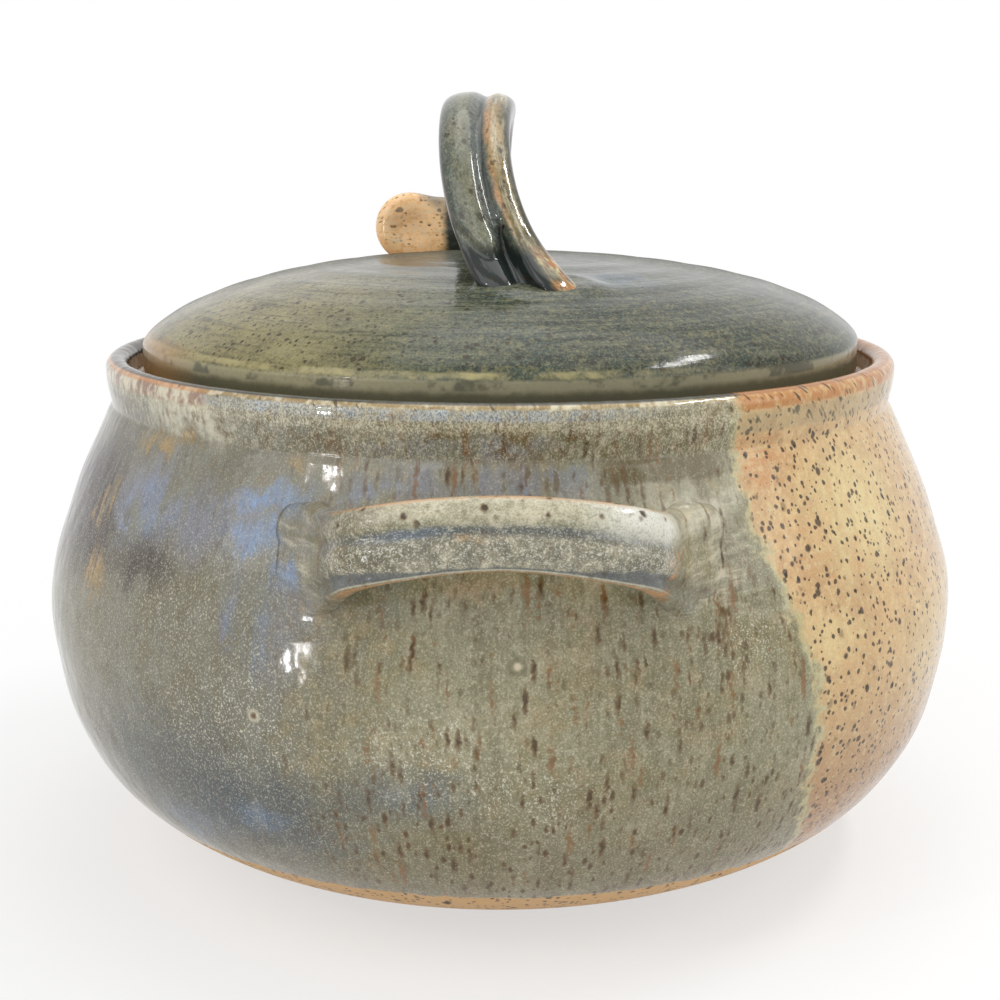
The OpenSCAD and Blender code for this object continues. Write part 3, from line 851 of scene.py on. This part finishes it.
def pot_glaze(c):
    """The belly's glazes over speckled buff clay, which shows under clear glaze on the right."""
    g = Glaze("pot_glaze")
    away = g.away()
    inside = g.layer("inside")
    patterns = wall_patterns(g)
    a, z, run, _, cloud, haze, mottle, curd, grain, flow, chart = patterns
    belly_glaze(g, c, patterns)

    # Buff clay under clear glaze on the right, with a straw flash, brushed orange and blots, and painted
    # shade in blush towards the bottom
    edge = g.ramp(z, 116, 60, 6.6) + g.ramp(z, 45, 28, 2.4) + 29.5
    from_edge = a - edge + (mottle - 0.5) * 5 + (curd - 0.5) * 2
    bare = g.ramp(from_edge, -0.6, 0.6) * g.ramp(a + flow * 1.5 + (mottle - 0.5) * 8, 122, 120)
    skin = g.mix(g.ramp(mottle + cloud, 0.8, 1.25, 0.35), c.buff, c.blush_and_shade)
    # Painted shade: the buff clay turns to blush towards the bottom
    skin = g.mix(g.ramp(z + (cloud - 0.5) * 20, 76, 24, 0.9), skin, c.blush_and_shade)
    flash = g.patches(chart, ((48, 106), (14, 22), 1.0), ((37, 82), (9, 9), 0.6), ((60, 70), (14, 20), 0.5))
    skin = g.mix(flash * g.ramp(mottle + run, 0.6, 1.1, 0.6), skin, c.straw)
    brushed = g.noise(26, 0.9, 2, 0.55)
    warm = g.patches(chart, ((33, 121), (8, 9), 0.9), ((36, 100), (5, 12), 0.4), ((42, 27), (12, 14), 0.4))
    skin = g.mix(warm * g.ramp(brushed + mottle, 0.75, 1.2, 0.8), skin, c.amber)
    blots = g.specks(9, 8, -0.35, 0.22, 5.0, 3.0, 0.12)
    skin = g.mix(blots * 0.4, skin, c.amber)
    skin = g.grit(skin, curd, c.straw, c.clay, 0.3)
    skin = g.grit(skin, grain, c.cream, c.ochre, 0.25)
    g.lay(g.band(from_edge, -1.0, 0.6, 0.5, 0.4), c.straw)
    g.lay(bare, skin)

    rusty = g.specks(3.4, 4, -0.2, 0.3, 11.0, 1.5, 0.12) * g.band(from_edge, -0.5, 7, 1.5)
    g.lay(rusty * 0.55, c.rust_and_shade)

    # Iron specks, thick in the bare clay and sparse under the glaze
    specks = g.specks(4.2, 4.6, -0.25, 0.27, 1.0) + g.specks(2.4, 2.8, -0.3, 0.34, 6.0)
    specks = specks + g.specks(1.4, 1.6, -0.1, 0.42, 7.0, 0.6)
    g.lay(specks * (bare * 0.72 + 0.14), c.iron)

    # Collar: brown stains and a beige crystal band below a blue-grey one, and a greyer band on the bare side
    glazed = 1 - bare
    stain = g.band(z + (cloud - 0.5) * 8, 125, 131, 2) * g.ramp(mottle + cloud * 0.5, 0.75, 0.95, 0.65)
    g.lay(stain * glazed, c.rust_and_shade)
    drips = g.specks(2.6, 5, -0.15, 0.4, 12.0, 1.5, 0.12) * g.band(z, 127, 132.5, 0.8)
    g.lay(drips * glazed * 0.6, c.rust_and_shade)
    beige = g.band(z + (mottle - 0.5) * 2.5, 129.4, 132, 0.8) * g.ramp(grain + mottle * 0.6, 0.6, 1.0, 0.5)
    g.lay(beige * glazed, c.cream)
    cool = g.band(z + (mottle - 0.5) * 1.4, 131.7, 134.1, 0.5) * glazed * g.ramp(a, 26, 2)
    cool_blue = g.mix(g.ramp(cloud + haze, 0.8, 1.1, 0.7), c.ash, c.blue)
    cool_blue = g.mix(g.ramp(grain, 0.3, 0.6, 0.65), cool_blue, c.frost_and_highlight)
    g.lay(cool * g.ramp(curd + mottle, 1.3, 0.85, 0.8), cool_blue)
    g.lay(g.band(z, 126.5, 131.4, 0.8) * bare * 0.35, c.sage)

    g.speckle(curd, c.cream, c.sage_deep_and_shade, g.ramp(z, 122, 124, 0.25) * glazed)
    g.speckle(grain, c.cream, c.sage_deep_and_shade, g.ramp(z, 122, 124, 0.4) * g.ramp(a, -44, -26) * glazed)

    # Lip: a thin mottled crest with slanted dark ticks, orange on the bare side, and an inner half painted
    # dark as shade from the gap under the lid
    orange = g.mix(g.ramp(mottle + curd * 0.6, 0.75, 1.0, 0.4), g.mix(0.2, c.amber, c.rust_and_shade), c.straw)
    g.lay(g.ramp(z + (curd - 0.5), 131.4, 132.2, 0.85) * bare, orange)
    blushed = g.ramp(a + flow, -34, -42) * g.ramp(z, 130.5, 132, 0.7) * glazed
    g.lay(blushed, g.mix(g.ramp(mottle, 0.4, 0.6), c.blush_and_shade, c.cream))
    crest = g.ramp(z + (mottle - 0.5) * 0.8, 134.0, 134.5) * glazed
    crest_colour = g.mix(g.ramp(mottle + curd * 0.5, 0.66, 0.95), c.ochre, c.cream)
    g.lay(crest * 0.75, g.mix(g.ramp(a, -34, -46, 0.85), crest_colour, c.amber))
    # Painted shade: the lip's inner half is darkened, teal on the glazed side and rust on the bare side
    painted_gap_shade = g.ramp(away, 106.4, 105.8, 0.9) * g.ramp(z, 132, 133.5)
    g.lay(painted_gap_shade, g.mix(bare, c.teal_and_shade, g.mix(0.6, c.rust_and_shade, c.amber)))
    wall_place = g.place
    g.place = g.join(a * 1.88 + z * 0.8, 0, z)
    ticks = g.specks(1.3, 2.8, -0.16, 0.42, 4.0, 0.5)
    g.place = wall_place
    ticked = g.ramp(z, 133.4, 134.2) * glazed + (g.ramp(z, 131, 132) + g.band(z, 125, 131, 1.5, 0.7)) * bare
    g.lay(ticks * ticked * 0.75, c.iron)

    # A pimple in the glaze and a rust spot with a pale ring
    pimple = g.spot(a, z, 1.7, 82.7)
    g.lay(g.band(pimple, 1.1, 2.0, 0.7) * 0.6, c.sage_deep_and_shade)
    g.lay(g.ramp(pimple, 1.1, 0.4, 0.8), g.mix(0.5, c.buff, c.frost_and_highlight))
    rust_spot = g.spot(a, z, -25.4, 68)
    g.lay(g.band(rust_spot, 0.7, 1.5, 0.5) * 0.5, c.cream)
    g.lay(g.ramp(rust_spot, 1.0, 0.4, 0.7), c.rust_and_shade)

    # Painted shade in the neck's crease, liner glaze inside, bare gallery and foot
    # Painted shade: a faint dark line along the crease where the shoulder meets the collar
    g.lay(g.band(z, 122.3, 123.1, 0.5) * glazed * 0.2, c.sage_deep_and_shade)
    g.lay(inside, g.mix(g.ramp(cloud, 0.35, 0.7, 0.5), c.sage, c.cream))
    g.lay(inside * g.band(z, 126.5, 133, 0.8), g.mix(g.ramp(mottle, 0.3, 0.7, 0.35), c.clay, c.rust_and_shade))
    foot = g.ramp(z + (mottle - 0.5) * 3, 23.2, 22.4) * (1 - inside)
    g.lay(foot, g.mix(specks * 0.8, c.clay, c.iron))

    relief = g.noise(6, 7, 1, 0.5) * 1.1 + curd * 0.05
    rough = g.ramp(cloud, 0.3, 0.8, 0.08) + g.ramp(grain, 0.56, 0.68, 0.03) + bare * 0.05 + foot * 0.5 + 0.07
    return g.finish(rough, relief, 0.3)


def lug_glaze(c):
    """Cream and grey-green rolls, blue-grey grooves, orange edges, and legs in the wall's own glaze, with a
    painted highlight at the grip's right end and painted shade in the hollow and low on the legs.
    """
    g = Glaze("handle_glaze")
    u = g.layer("across")
    v = g.layer("face")
    s = g.layer("side")
    own_place = g.place
    belly_glaze(g, c, wall_patterns(g))
    legs = g.base
    g.place = own_place
    mottle = g.noise(4, 3)
    cloud = g.noise(13, 8)
    curd = g.noise(1.3, 1.3, 2)
    grain = g.noise(0.42, 0.42, 2, 0.7)
    w = u + (mottle - 0.5) * 0.16
    face = g.ramp(v, -0.2, 0.3)
    bar = g.ramp(abs(s), 0.8, 0.7)
    g.base = g.mix(g.ramp(mottle + cloud, 0.85, 1.2, 0.5), c.sage, c.cream)
    g.lay(g.ramp(w, 0.25, 0.55, 0.3), c.cream)
    g.lay(g.ramp(w, 0.1, -0.1, 0.7), g.mix(0.3, c.ash, c.sage_deep_and_shade))
    g.lay(g.band(w, -0.04, 0.22, 0.1) * face * 0.85, g.mix(g.ramp(s, -0.1, -0.5, 0.4), c.slate_and_shade, c.blue))
    warm = g.band(w, -0.25, -0.02, 0.08) * g.ramp(cloud, 0.45, 0.6) * g.ramp(s, 0.1, -0.2)
    g.lay(warm * 0.7, c.clay)
    g.lay(g.ramp(s, -0.35, -0.7, 0.8), c.sage_deep_and_shade)
    # Painted highlight: pale frost over the upper right end of the grip
    g.lay(g.ramp(s, 0.3, 0.6, 0.95) * g.ramp(w, -0.1, 0.25), c.frost_and_highlight)
    crystals = g.ramp(grain + (curd - 0.5) * 0.25, 0.53, 0.66) * (g.band(w, -0.75, -0.1, 0.1) * 0.4 + 0.12)
    g.lay(crystals, c.frost_and_highlight)
    g.speckle(curd, c.cream, c.sage_deep_and_shade, 0.3)
    g.speckle(mottle, c.cream, c.slate_and_shade, g.ramp(w, 0.0, -0.2, 0.2))
    g.speckle(grain, c.frost_and_highlight, c.sage_deep_and_shade, 0.36)

    # Hollow above the lower lip, blue-grey glaze pooled there and painted shade: a line in the middle that
    # widens towards the legs
    hollow_top = g.ramp(abs(s), 0.3, 0.72, 0.26) - 0.86
    hollow = g.band(w, -0.93, hollow_top, 0.04) * face
    g.lay(hollow * 0.75, c.slate_and_shade)
    g.lay(g.band(u, -0.95, -0.92, 0.02) * 0.5 * face, c.cream)

    # Legs in the wall's own glaze, with smeared lines of cream, and painted shade in slate on their lower
    # side
    smears = g.noise(9, 1.6)
    legs = g.grit(legs, smears, c.cream, c.sage_deep_and_shade, 0.3)
    # Painted shade: slate darkens the lower side of the legs
    legs = g.mix(g.ramp(w, -0.3, -0.7, 0.3), legs, c.slate_and_shade)
    g.lay(1 - bar, legs)

    # Glaze breaks orange over the edges of the bar
    rim = g.ramp(u + (mottle - 0.5) * 0.1, 0.86, 0.98) + g.ramp(u + (curd - 0.5) * 0.04, -0.96, -0.985)
    g.lay(rim * bar * g.ramp(cloud, 0.3, 0.5, 0.6), g.mix(0.3, c.amber, c.clay))
    g.lay(g.ramp(v, -0.1, -0.5, 0.7), c.ash)
    corner = g.band(s, 0.7, 0.77, 0.03) * g.ramp(mottle, 0.5, 0.6) * g.ramp(w, 0.2, -0.2)
    g.lay(corner * 0.6, c.amber)
    g.lay(g.band(abs(s) + (curd - 0.5) * 0.05, 0.75, 0.77, 0.02) * g.ramp(mottle, 0.4, 0.55, 0.6), c.rust_and_shade)
    top = g.ramp(w, 0.1, 0.6, 0.7) + 0.3
    g.lay(top * bar * g.specks(2.6, 3.4, -0.2, 0.34, 2.0, 0.8, 0.12) * 0.7, c.rust_and_shade)
    g.lay(top * bar * g.specks(2.6, 3.4, -0.3, 0.24, 2.0) * 0.8, c.iron)
    relief = mottle * 0.7 + curd * 0.08
    return g.finish(g.ramp(cloud, 0.3, 0.8, 0.1) + 0.16, relief, 0.25)


def lid_glaze(c):
    """Grey-green, khaki at the left front, a blue flush by the strap's foot, buff on the far side, and
    painted shade towards the back and low on the edge.
    """
    g = Glaze("lid_glaze")
    under = g.layer("under")
    away = g.away()
    cloud = g.noise(15, 15)
    broad = g.noise(40, 40, 2, 0.55)
    mottle = g.noise(4, 4)
    curd = g.noise(1.7, 1.7, 2)
    grain = g.noise(0.6, 0.6, 2, 0.7)
    lid_place = g.place
    g.place = g.join(g.x * 0.12, g.y * 0.12, away)
    rings = g.noise(2.4, 1.5, 2)
    g.place = lid_place
    left = g.ramp(g.x + (cloud - 0.5) * 30 + (broad - 0.5) * 40, -5, -60)
    g.base = g.mix(left, g.mix(g.ramp(g.x, -20, 40, 0.4), c.mist, c.teal_and_shade), c.khaki)
    g.lay(g.ramp(cloud + mottle * 0.5, 0.62, 0.9) * (left * 0.4 + 0.2), c.olive)
    # Painted shade: teal darkens the lid towards the back
    g.lay(g.ramp(g.y + (cloud - 0.5) * 30, -50, 5, 0.75), c.teal_and_shade)
    g.lay(g.ramp(rings, 0.5, 0.68, 0.55), c.teal_and_shade)
    g.lay(g.ramp(rings, 0.5, 0.34, 0.25), c.sage)
    chart = g.join(g.x + (mottle - 0.5) * 12, g.y + (cloud - 0.5) * 20)
    g.speckle(curd, c.khaki, c.teal_and_shade, 0.3)
    g.speckle(grain, c.sage, c.teal_and_shade, 0.4)
    blue = g.patches(chart, ((30, -46), (14, 12), 0.8), ((25, -56), (9, 5), 0.5))
    g.lay(blue * g.ramp(mottle, 0.3, 0.65, 0.6), g.mix(0.5, c.slate_and_shade, c.blue))
    dashes = g.specks(2.3, 2.3, -0.2, 0.38, 2.0) + g.specks(1.4, 1.4, -0.15, 0.38, 6.0, 0.6)
    g.lay(dashes * (left * 0.2 + 0.6), c.iron)

    # Bare buff clay under clear glaze on the far side, as on the pot
    far = g.ramp(g.y + (cloud - 0.5) * 22 + (mottle - 0.5) * 8, 35, 38)
    skin = g.mix(g.ramp(mottle + cloud, 0.8, 1.2, 0.6), c.buff, c.blush_and_shade)
    g.lay(far, skin)
    g.lay(far * dashes * 0.7, c.iron)

    # Glaze breaks yellow over the ridge of the edge and orange at the far left; below it lie dark teal
    # patches, and painted shade darkens the bottom of the edge next to the lip
    edge = g.ramp(away, 95.2, 96.4)
    front = g.ramp(g.x + (cloud - 0.5) * 40, 60, 10)
    g.lay(edge * g.ramp(g.z, 139.6, 138.6, 0.75), g.mix(0.2, c.khaki, c.frost_and_highlight))
    # Painted shade: teal at the bottom of the lid's edge, next to the lip
    g.lay(edge * g.ramp(g.z + (mottle - 0.5) * 2, 137.4, 135.4, 0.6), c.teal_and_shade)
    g.lay(edge * g.band(g.z, 136.8, 139.2, 0.4) * g.ramp(cloud + mottle * 0.5, 0.72, 0.85, 0.6), c.teal_and_shade)
    ridge = edge * g.band(g.z + (mottle - 0.5) * 1.2, 139.4, 140.8, 0.4) * front
    g.lay(ridge * g.ramp(cloud + mottle * 0.4, 0.55, 0.85, 0.7), g.mix(0.45, c.khaki, c.straw))
    orange = g.ramp(g.x + (mottle - 0.5) * 8, -70, -86) * g.ramp(g.z + (mottle - 0.5) * 3, 143, 140)
    g.lay(orange * g.ramp(g.y, 30, 0) * 0.5, g.mix(0.5, c.amber, c.ochre))
    g.lay(under * g.ramp(away, 89, 86), c.sage)
    g.lay(under * g.ramp(g.z, 130.5, 129), c.clay)
    relief = cloud * 0.8 + rings * 0.3 + mottle * 0.3
    rough = g.ramp(cloud, 0.3, 0.8, 0.06) + g.ramp(g.y, -40, 40, 0.45) + 0.12
    return g.finish(rough, relief, 0.25, 0.25)


def strap_glaze(c):
    """Grey-green on the left roll, teal in the groove, olive and orange on the right roll, a buff tail, and
    painted shade under the strap and at its foot.
    """
    g = Glaze("strap_glaze")
    u = g.layer("across")
    v = g.layer("face")
    x, y, z = g.x, g.y, g.z
    g.follow_strap()
    mottle = g.noise(3, 6)
    cloud = g.noise(6, 16)
    curd = g.noise(1.2, 2, 2)
    grain = g.noise(0.5, 0.7, 2, 0.7)
    w = u + (mottle - 0.5) * 0.2
    face = g.ramp(v, -0.1, 0.35)
    g.base = g.mix(g.ramp(cloud + mottle * 0.5, 0.6, 1.0, 0.5), c.mist, c.sage_deep_and_shade)
    g.lay(g.band(w, -0.62, -0.2, 0.2) * face * 0.38, c.sage)
    g.lay(g.band(w, -0.15, 0.1, 0.12) * face * 0.5, c.slate_and_shade)

    # Right roll: orange beside the groove, then cream and olive, and a dark outer edge that is partly glaze
    # on the side and partly a painted dark reflection
    right = g.ramp(w, 0.26, 0.4) * face
    roll = g.mix(g.ramp(cloud + mottle, 0.85, 1.15), c.olive, c.ochre)
    drawn = g.noise(1.6, 16)
    roll = g.mix(g.ramp(drawn + cloud * 0.4, 0.65, 0.9, 0.7), roll, c.cream)
    g.lay(right * 0.9, roll)
    g.lay(g.band(w, 0.28, 0.42, 0.05) * face * g.ramp(cloud, 0.4, 0.6, 0.6), c.amber)
    g.speckle(curd, c.sage, c.teal_and_shade, 0.35)
    g.speckle(grain, c.cream, c.teal_and_shade, 0.15)
    g.lay(g.band(u, 0.1, 0.21, 0.05) * face * 0.85, c.teal_and_shade)
    # Painted shade: teal on the strap's inner face, under the arch
    g.lay(g.ramp(v, 0.0, -0.35, 0.75), c.teal_and_shade)
    # Dark teal along both edges: partly glaze on the sides and partly a painted dark reflection
    g.lay(g.ramp(w, 0.76, 0.9, 0.85) + g.ramp(w, -0.86, -0.97, 0.6), c.teal_and_shade)

    # Dark foot, with teal glaze pooled there and painted shade, and orange where the right roll is smeared on
    # to the lid
    foot = g.ramp(z + (mottle - 0.5) * 3, 168, 163) * g.ramp(y, 10, 0)
    g.lay(foot * g.ramp(w, 0.6, 0.4), c.teal_and_shade)
    smear = g.ramp(z, 167, 162) * g.ramp(y, 10, 0) * g.band(w, 0.5, 1.0, 0.1)
    g.lay(smear * g.ramp(mottle, 0.35, 0.55, 0.7), g.mix(g.ramp(curd, 0.45, 0.6), c.amber, c.straw))

    # Buff tail, orange and spotted in the thumb press, with a painted dark outline and a fold beside the leg
    tail = g.ramp(x + (mottle - 0.5) * 3, -15, -18) * g.ramp(y, 20, 30)
    dish = g.patches(g.join(x, z), ((-28, 169), (8, 7), 1.0))
    skin = g.mix(g.ramp(mottle + cloud, 0.85, 1.2, 0.3), c.peach, c.buff)
    skin = g.mix(dish * g.ramp(mottle, 0.35, 0.6, 0.4), skin, c.amber)
    skin = g.grit(skin, mottle, c.cream, c.amber, 0.25)
    skin = g.grit(skin, curd, c.cream, c.amber, 0.4)
    # Painted dark reflection: a rust outline round the tail's edge
    skin = g.mix(g.band(v, -0.22, 0.1, 0.08, 0.5), skin, c.rust_and_shade)
    g.lay(tail, skin)
    fold = g.patches(g.join(x + z * 0.9, z), ((138, 176), (6, 9), 1.0)) * tail
    g.lay(fold * 0.8, c.ash)
    dots = g.specks(2.4, 3.2, -0.25, 0.38, 2.0) + g.specks(1.3, 1.8, -0.2, 0.34, 5.0, 0.5)
    g.lay(dots * 0.65, c.iron)
    g.lay(dish * tail * g.specks(4.4, 4.4, -0.1, 0.36, 4.0) * 0.6, c.rust_and_shade)
    relief = mottle * 0.6 + curd * 0.06
    return g.finish(g.ramp(cloud, 0.3, 0.8, 0.08) + 0.1, relief, 0.25)


# Operators

class CASSEROLE_OT_pot(bpy.types.Operator):
    """Turn the pot with its foot, collar, lip and gallery, and glaze it"""
    bl_idname = "casserole.pot"
    bl_label = "Pot"

    def execute(self, context):
        pot = context.scene.casserole_pot
        lug = context.scene.casserole_lug
        outline, inner = pot_outline(pot)
        radius, height, azimuth = turned(outline, AROUND)
        inside = (np.arange(len(outline)) >= inner)[:, None]
        wall = (height > pot.foot_height) & (height < pot.neck_height) & ~inside
        lines = np.sin(height / (3.1 * MM) + np.sin(azimuth))
        lines = lines + np.sin(height / (5.3 * MM) + 2 * np.cos(azimuth))
        radius = radius + wall * pot.throwing * lines
        crease = np.exp(-((height - pot.neck_height) / (0.9 * MM)) ** 2)
        radius = radius - ~inside * 0.35 * MM * crease
        radius = radius + wall * luted_clay(pot, lug, azimuth, height, radius)
        points = turned_points(radius, height, azimuth)
        layers = {"path": travel(outline)[:, None] / MM, "inside": inside}
        piece = add_piece("pot_skin", points, turned_faces(len(outline), AROUND), layers,
                          pot_glaze(context.scene.casserole_colours))
        dress(piece, "pot_body", "pot")
        return {"FINISHED"}


def luted_clay(pot, lug, azimuth, height, radius):
    """How far the wall is built up round the lugs' roots: a mound at each, and a fan smeared away from it."""
    built = 0
    root_x = lug.span / 2 + 0.6 * lug.splay
    root = np.arcsin(root_x / wall_radius(pot, lug.root_height))
    for side in (0, np.pi):
        for turn in (-1, 1):
            off = (azimuth - side + np.pi) % (2 * np.pi) - np.pi
            away = (turn * off - root) * radius
            tall = np.maximum(np.abs(height - lug.root_height + 3 * MM) - 10 * MM, 0)
            near = np.hypot(np.maximum(np.abs(away) - 4 * MM, 0), tall)
            mound = 2.2 * MM * np.exp(-near / (2.6 * MM))
            low = lug.root_height - 14.5 * MM - 0.3 * np.maximum(away, 0)
            fan = smooth(away, 15 * MM, 2 * MM) * smooth(away, -3 * MM, 0)
            fan = fan * smooth(height, low - 1.5 * MM, low)
            fan = fan * smooth(height, lug.root_height + 14 * MM, lug.root_height + 7 * MM)
            built = built + np.maximum(mound, 1.1 * MM * fan)
    return built


class CASSEROLE_OT_lugs(bpy.types.Operator):
    """Pull the two grooved lug handles and lute them to the shoulder"""
    bl_idname = "casserole.lugs"
    bl_label = "Lug handles"

    def execute(self, context):
        pot = context.scene.casserole_pot
        points, u, v, side = lug_grid(pot, context.scene.casserole_lug, LUG_RINGS, LUG_AROUND)
        material = lug_glaze(context.scene.casserole_colours)
        outline, inner = pot_outline(pot)
        path = np.interp(points[..., 2], outline[:inner, 1], travel(outline)[:inner])
        layers = {"across": u, "face": v, "side": side[:, None], "path": path / MM}
        faces = loft_faces(LUG_RINGS, LUG_AROUND)
        for node, turn in (("front_handle", 1), ("rear_handle", -1)):
            name = node.replace("handle", "lug")
            piece = add_piece(name, points * [turn, turn, 1], faces, layers, material)
            dress(piece, node, "pot")
        return {"FINISHED"}


class CASSEROLE_OT_lid(bpy.types.Operator):
    """Turn the domed lid with its seat and hollow, and glaze it"""
    bl_idname = "casserole.lid"
    bl_label = "Lid"

    def execute(self, context):
        lid = context.scene.casserole_lid
        strap = context.scene.casserole_strap
        outline, top = lid_outline(lid)
        radius, height, azimuth = turned(outline, AROUND)
        dome = (np.arange(len(outline)) >= top)[:, None]
        lines = 0.07 * MM * np.sin(radius / (1.9 * MM)) * smooth(radius, 20 * MM, 40 * MM)
        height = height + dome * lines
        height = height + dome * lid.warp * np.sin(azimuth) * smooth(radius, 40 * MM, lid.radius)
        points = turned_points(radius, height, azimuth)
        beside = np.hypot((points[..., 0] - strap.swing + strap.offset) / strap.foot_width * 2,
                          (points[..., 1] + strap.front + strap.toe / 2) / (strap.thickness + strap.toe) * 2)
        points[..., 2] += dome * 1.0 * MM * np.exp(-np.maximum(beside - 0.9, 0) ** 2 / 0.1)
        piece = add_piece("lid_skin", points, turned_faces(len(outline), AROUND), {"under": ~dome},
                          lid_glaze(context.scene.casserole_colours))
        dress(piece, "lid", "lid")
        return {"FINISHED"}


class CASSEROLE_OT_strap(bpy.types.Operator):
    """Pull the grooved strap that arches over the lid and ends in a turned tail"""
    bl_idname = "casserole.strap"
    bl_label = "Lid strap"

    def execute(self, context):
        strap = context.scene.casserole_strap
        points, u, v, way = strap_grid(strap, context.scene.casserole_lid, STRAP_AROUND)
        layers = {"across": u, "face": v, "along": way[:, None] / MM}
        piece = add_piece("lid_strap", points, loft_faces(len(points), STRAP_AROUND), layers,
                          strap_glaze(context.scene.casserole_colours))
        dress(piece, "lid_handle", "lid")
        return {"FINISHED"}


class CASSEROLE_OT_stage(bpy.types.Operator):
    """Lay the pale floor, hang the soft lights and set the camera"""
    bl_idname = "casserole.stage"
    bl_label = "Stage"

    def execute(self, context):
        floor_sheet()
        white_world()
        for name, (place, size, power) in LAMPS.items():
            soft_light(name, place, size, power)
        photo_camera()
        return {"FINISHED"}


def floor_sheet():
    """A wide pale floor that shows white and keeps a soft shadow of the pot."""
    g = Glaze("floor_paper")
    lit = g.node("ShaderNodeBsdfDiffuse", inputs={"Color": (0.9, 0.9, 0.89, 1)})
    glow = g.node("ShaderNodeEmission", inputs={"Color": (1, 1, 1, 1), "Strength": 1.0})
    share = g.seen_directly() * (g.ramp(g.away(), 100, 420, 0.4) + 0.6)
    both = g.node("ShaderNodeMixShader", inputs={0: share, 1: lit, 2: glow})
    g.node("ShaderNodeOutputMaterial", inputs={"Surface": both})
    mesh = bpy.data.meshes.new("floor")
    corners = [(x * FLOOR_HALF, y * FLOOR_HALF, 0) for x, y in ((-1, -1), (1, -1), (1, 1), (-1, 1))]
    mesh.from_pydata(corners, [], [(0, 1, 2, 3)])
    mesh.materials.append(g.material)
    floor = bpy.data.objects.new("floor", mesh)
    bpy.context.scene.collection.objects.link(floor)


def white_world():
    """A white surround that lights the object softly."""
    world = bpy.data.worlds.new("studio")
    bpy.context.scene.world = world
    g = Nodes(world)
    strength = g.seen_directly() * (1 - AMBIENT) + AMBIENT
    sky = g.node("ShaderNodeBackground", inputs={"Color": (1, 1, 1, 1), "Strength": strength})
    g.node("ShaderNodeOutputWorld", inputs={"Surface": sky})


def soft_light(name, place, size, power):
    """A lamp of a width and height that looks at the middle of the pot."""
    light = bpy.data.lights.new(name, "AREA")
    light.shape = "RECTANGLE"
    light.size, light.size_y = size
    light.energy = power
    lamp = bpy.data.objects.new(name, light)
    lamp.location = place
    lamp.rotation_mode = "QUATERNION"
    lamp.rotation_quaternion = (Vector(LAMP_TARGET) - Vector(place)).to_track_quat("-Z", "Y")
    bpy.context.scene.collection.objects.link(lamp)


def photo_camera():
    """A camera at the photograph's view."""
    camera = bpy.data.cameras.new("camera")
    camera.sensor_width = SENSOR_MM
    camera.lens = LENS_MM
    view = bpy.data.objects.new("camera", camera)
    view.location = CAMERA_PLACE
    view.rotation_euler = (np.radians(90 - CAMERA_PITCH), 0, 0)
    bpy.context.scene.collection.objects.link(view)
    bpy.context.scene.camera = view
    bpy.context.scene.view_settings.view_transform = "Standard"


class CASSEROLE_PT_panel(bpy.types.Panel):
    """Lists the casserole's pieces"""
    bl_idname = "CASSEROLE_PT_panel"
    bl_label = "Casserole"
    bl_space_type = "VIEW_3D"
    bl_region_type = "UI"
    bl_category = "Casserole"

    def draw(self, context):
        for step in STEPS:
            self.layout.operator(step)


STEPS = ("casserole.pot", "casserole.lugs", "casserole.lid", "casserole.strap", "casserole.stage")
GROUPS = {"casserole_pot": PotShape, "casserole_lid": LidShape, "casserole_lug": LugShape,
          "casserole_strap": StrapShape, "casserole_colours": GlazeColours}
CLASSES = (*GROUPS.values(), CASSEROLE_OT_pot, CASSEROLE_OT_lugs, CASSEROLE_OT_lid, CASSEROLE_OT_strap,
           CASSEROLE_OT_stage, CASSEROLE_PT_panel)


def register():
    for cls in CLASSES:
        bpy.utils.register_class(cls)
    for name, group in GROUPS.items():
        setattr(bpy.types.Scene, name, PointerProperty(type=group))


def unregister():
    for name in GROUPS:
        delattr(bpy.types.Scene, name)
    for cls in reversed(CLASSES):
        bpy.utils.unregister_class(cls)


def main():
    """Make every piece and the stage."""
    register()
    bpy.ops.casserole.pot()
    bpy.ops.casserole.lugs()
    bpy.ops.casserole.lid()
    bpy.ops.casserole.strap()
    bpy.ops.casserole.stage()


if __name__ == "__main__":
    main()
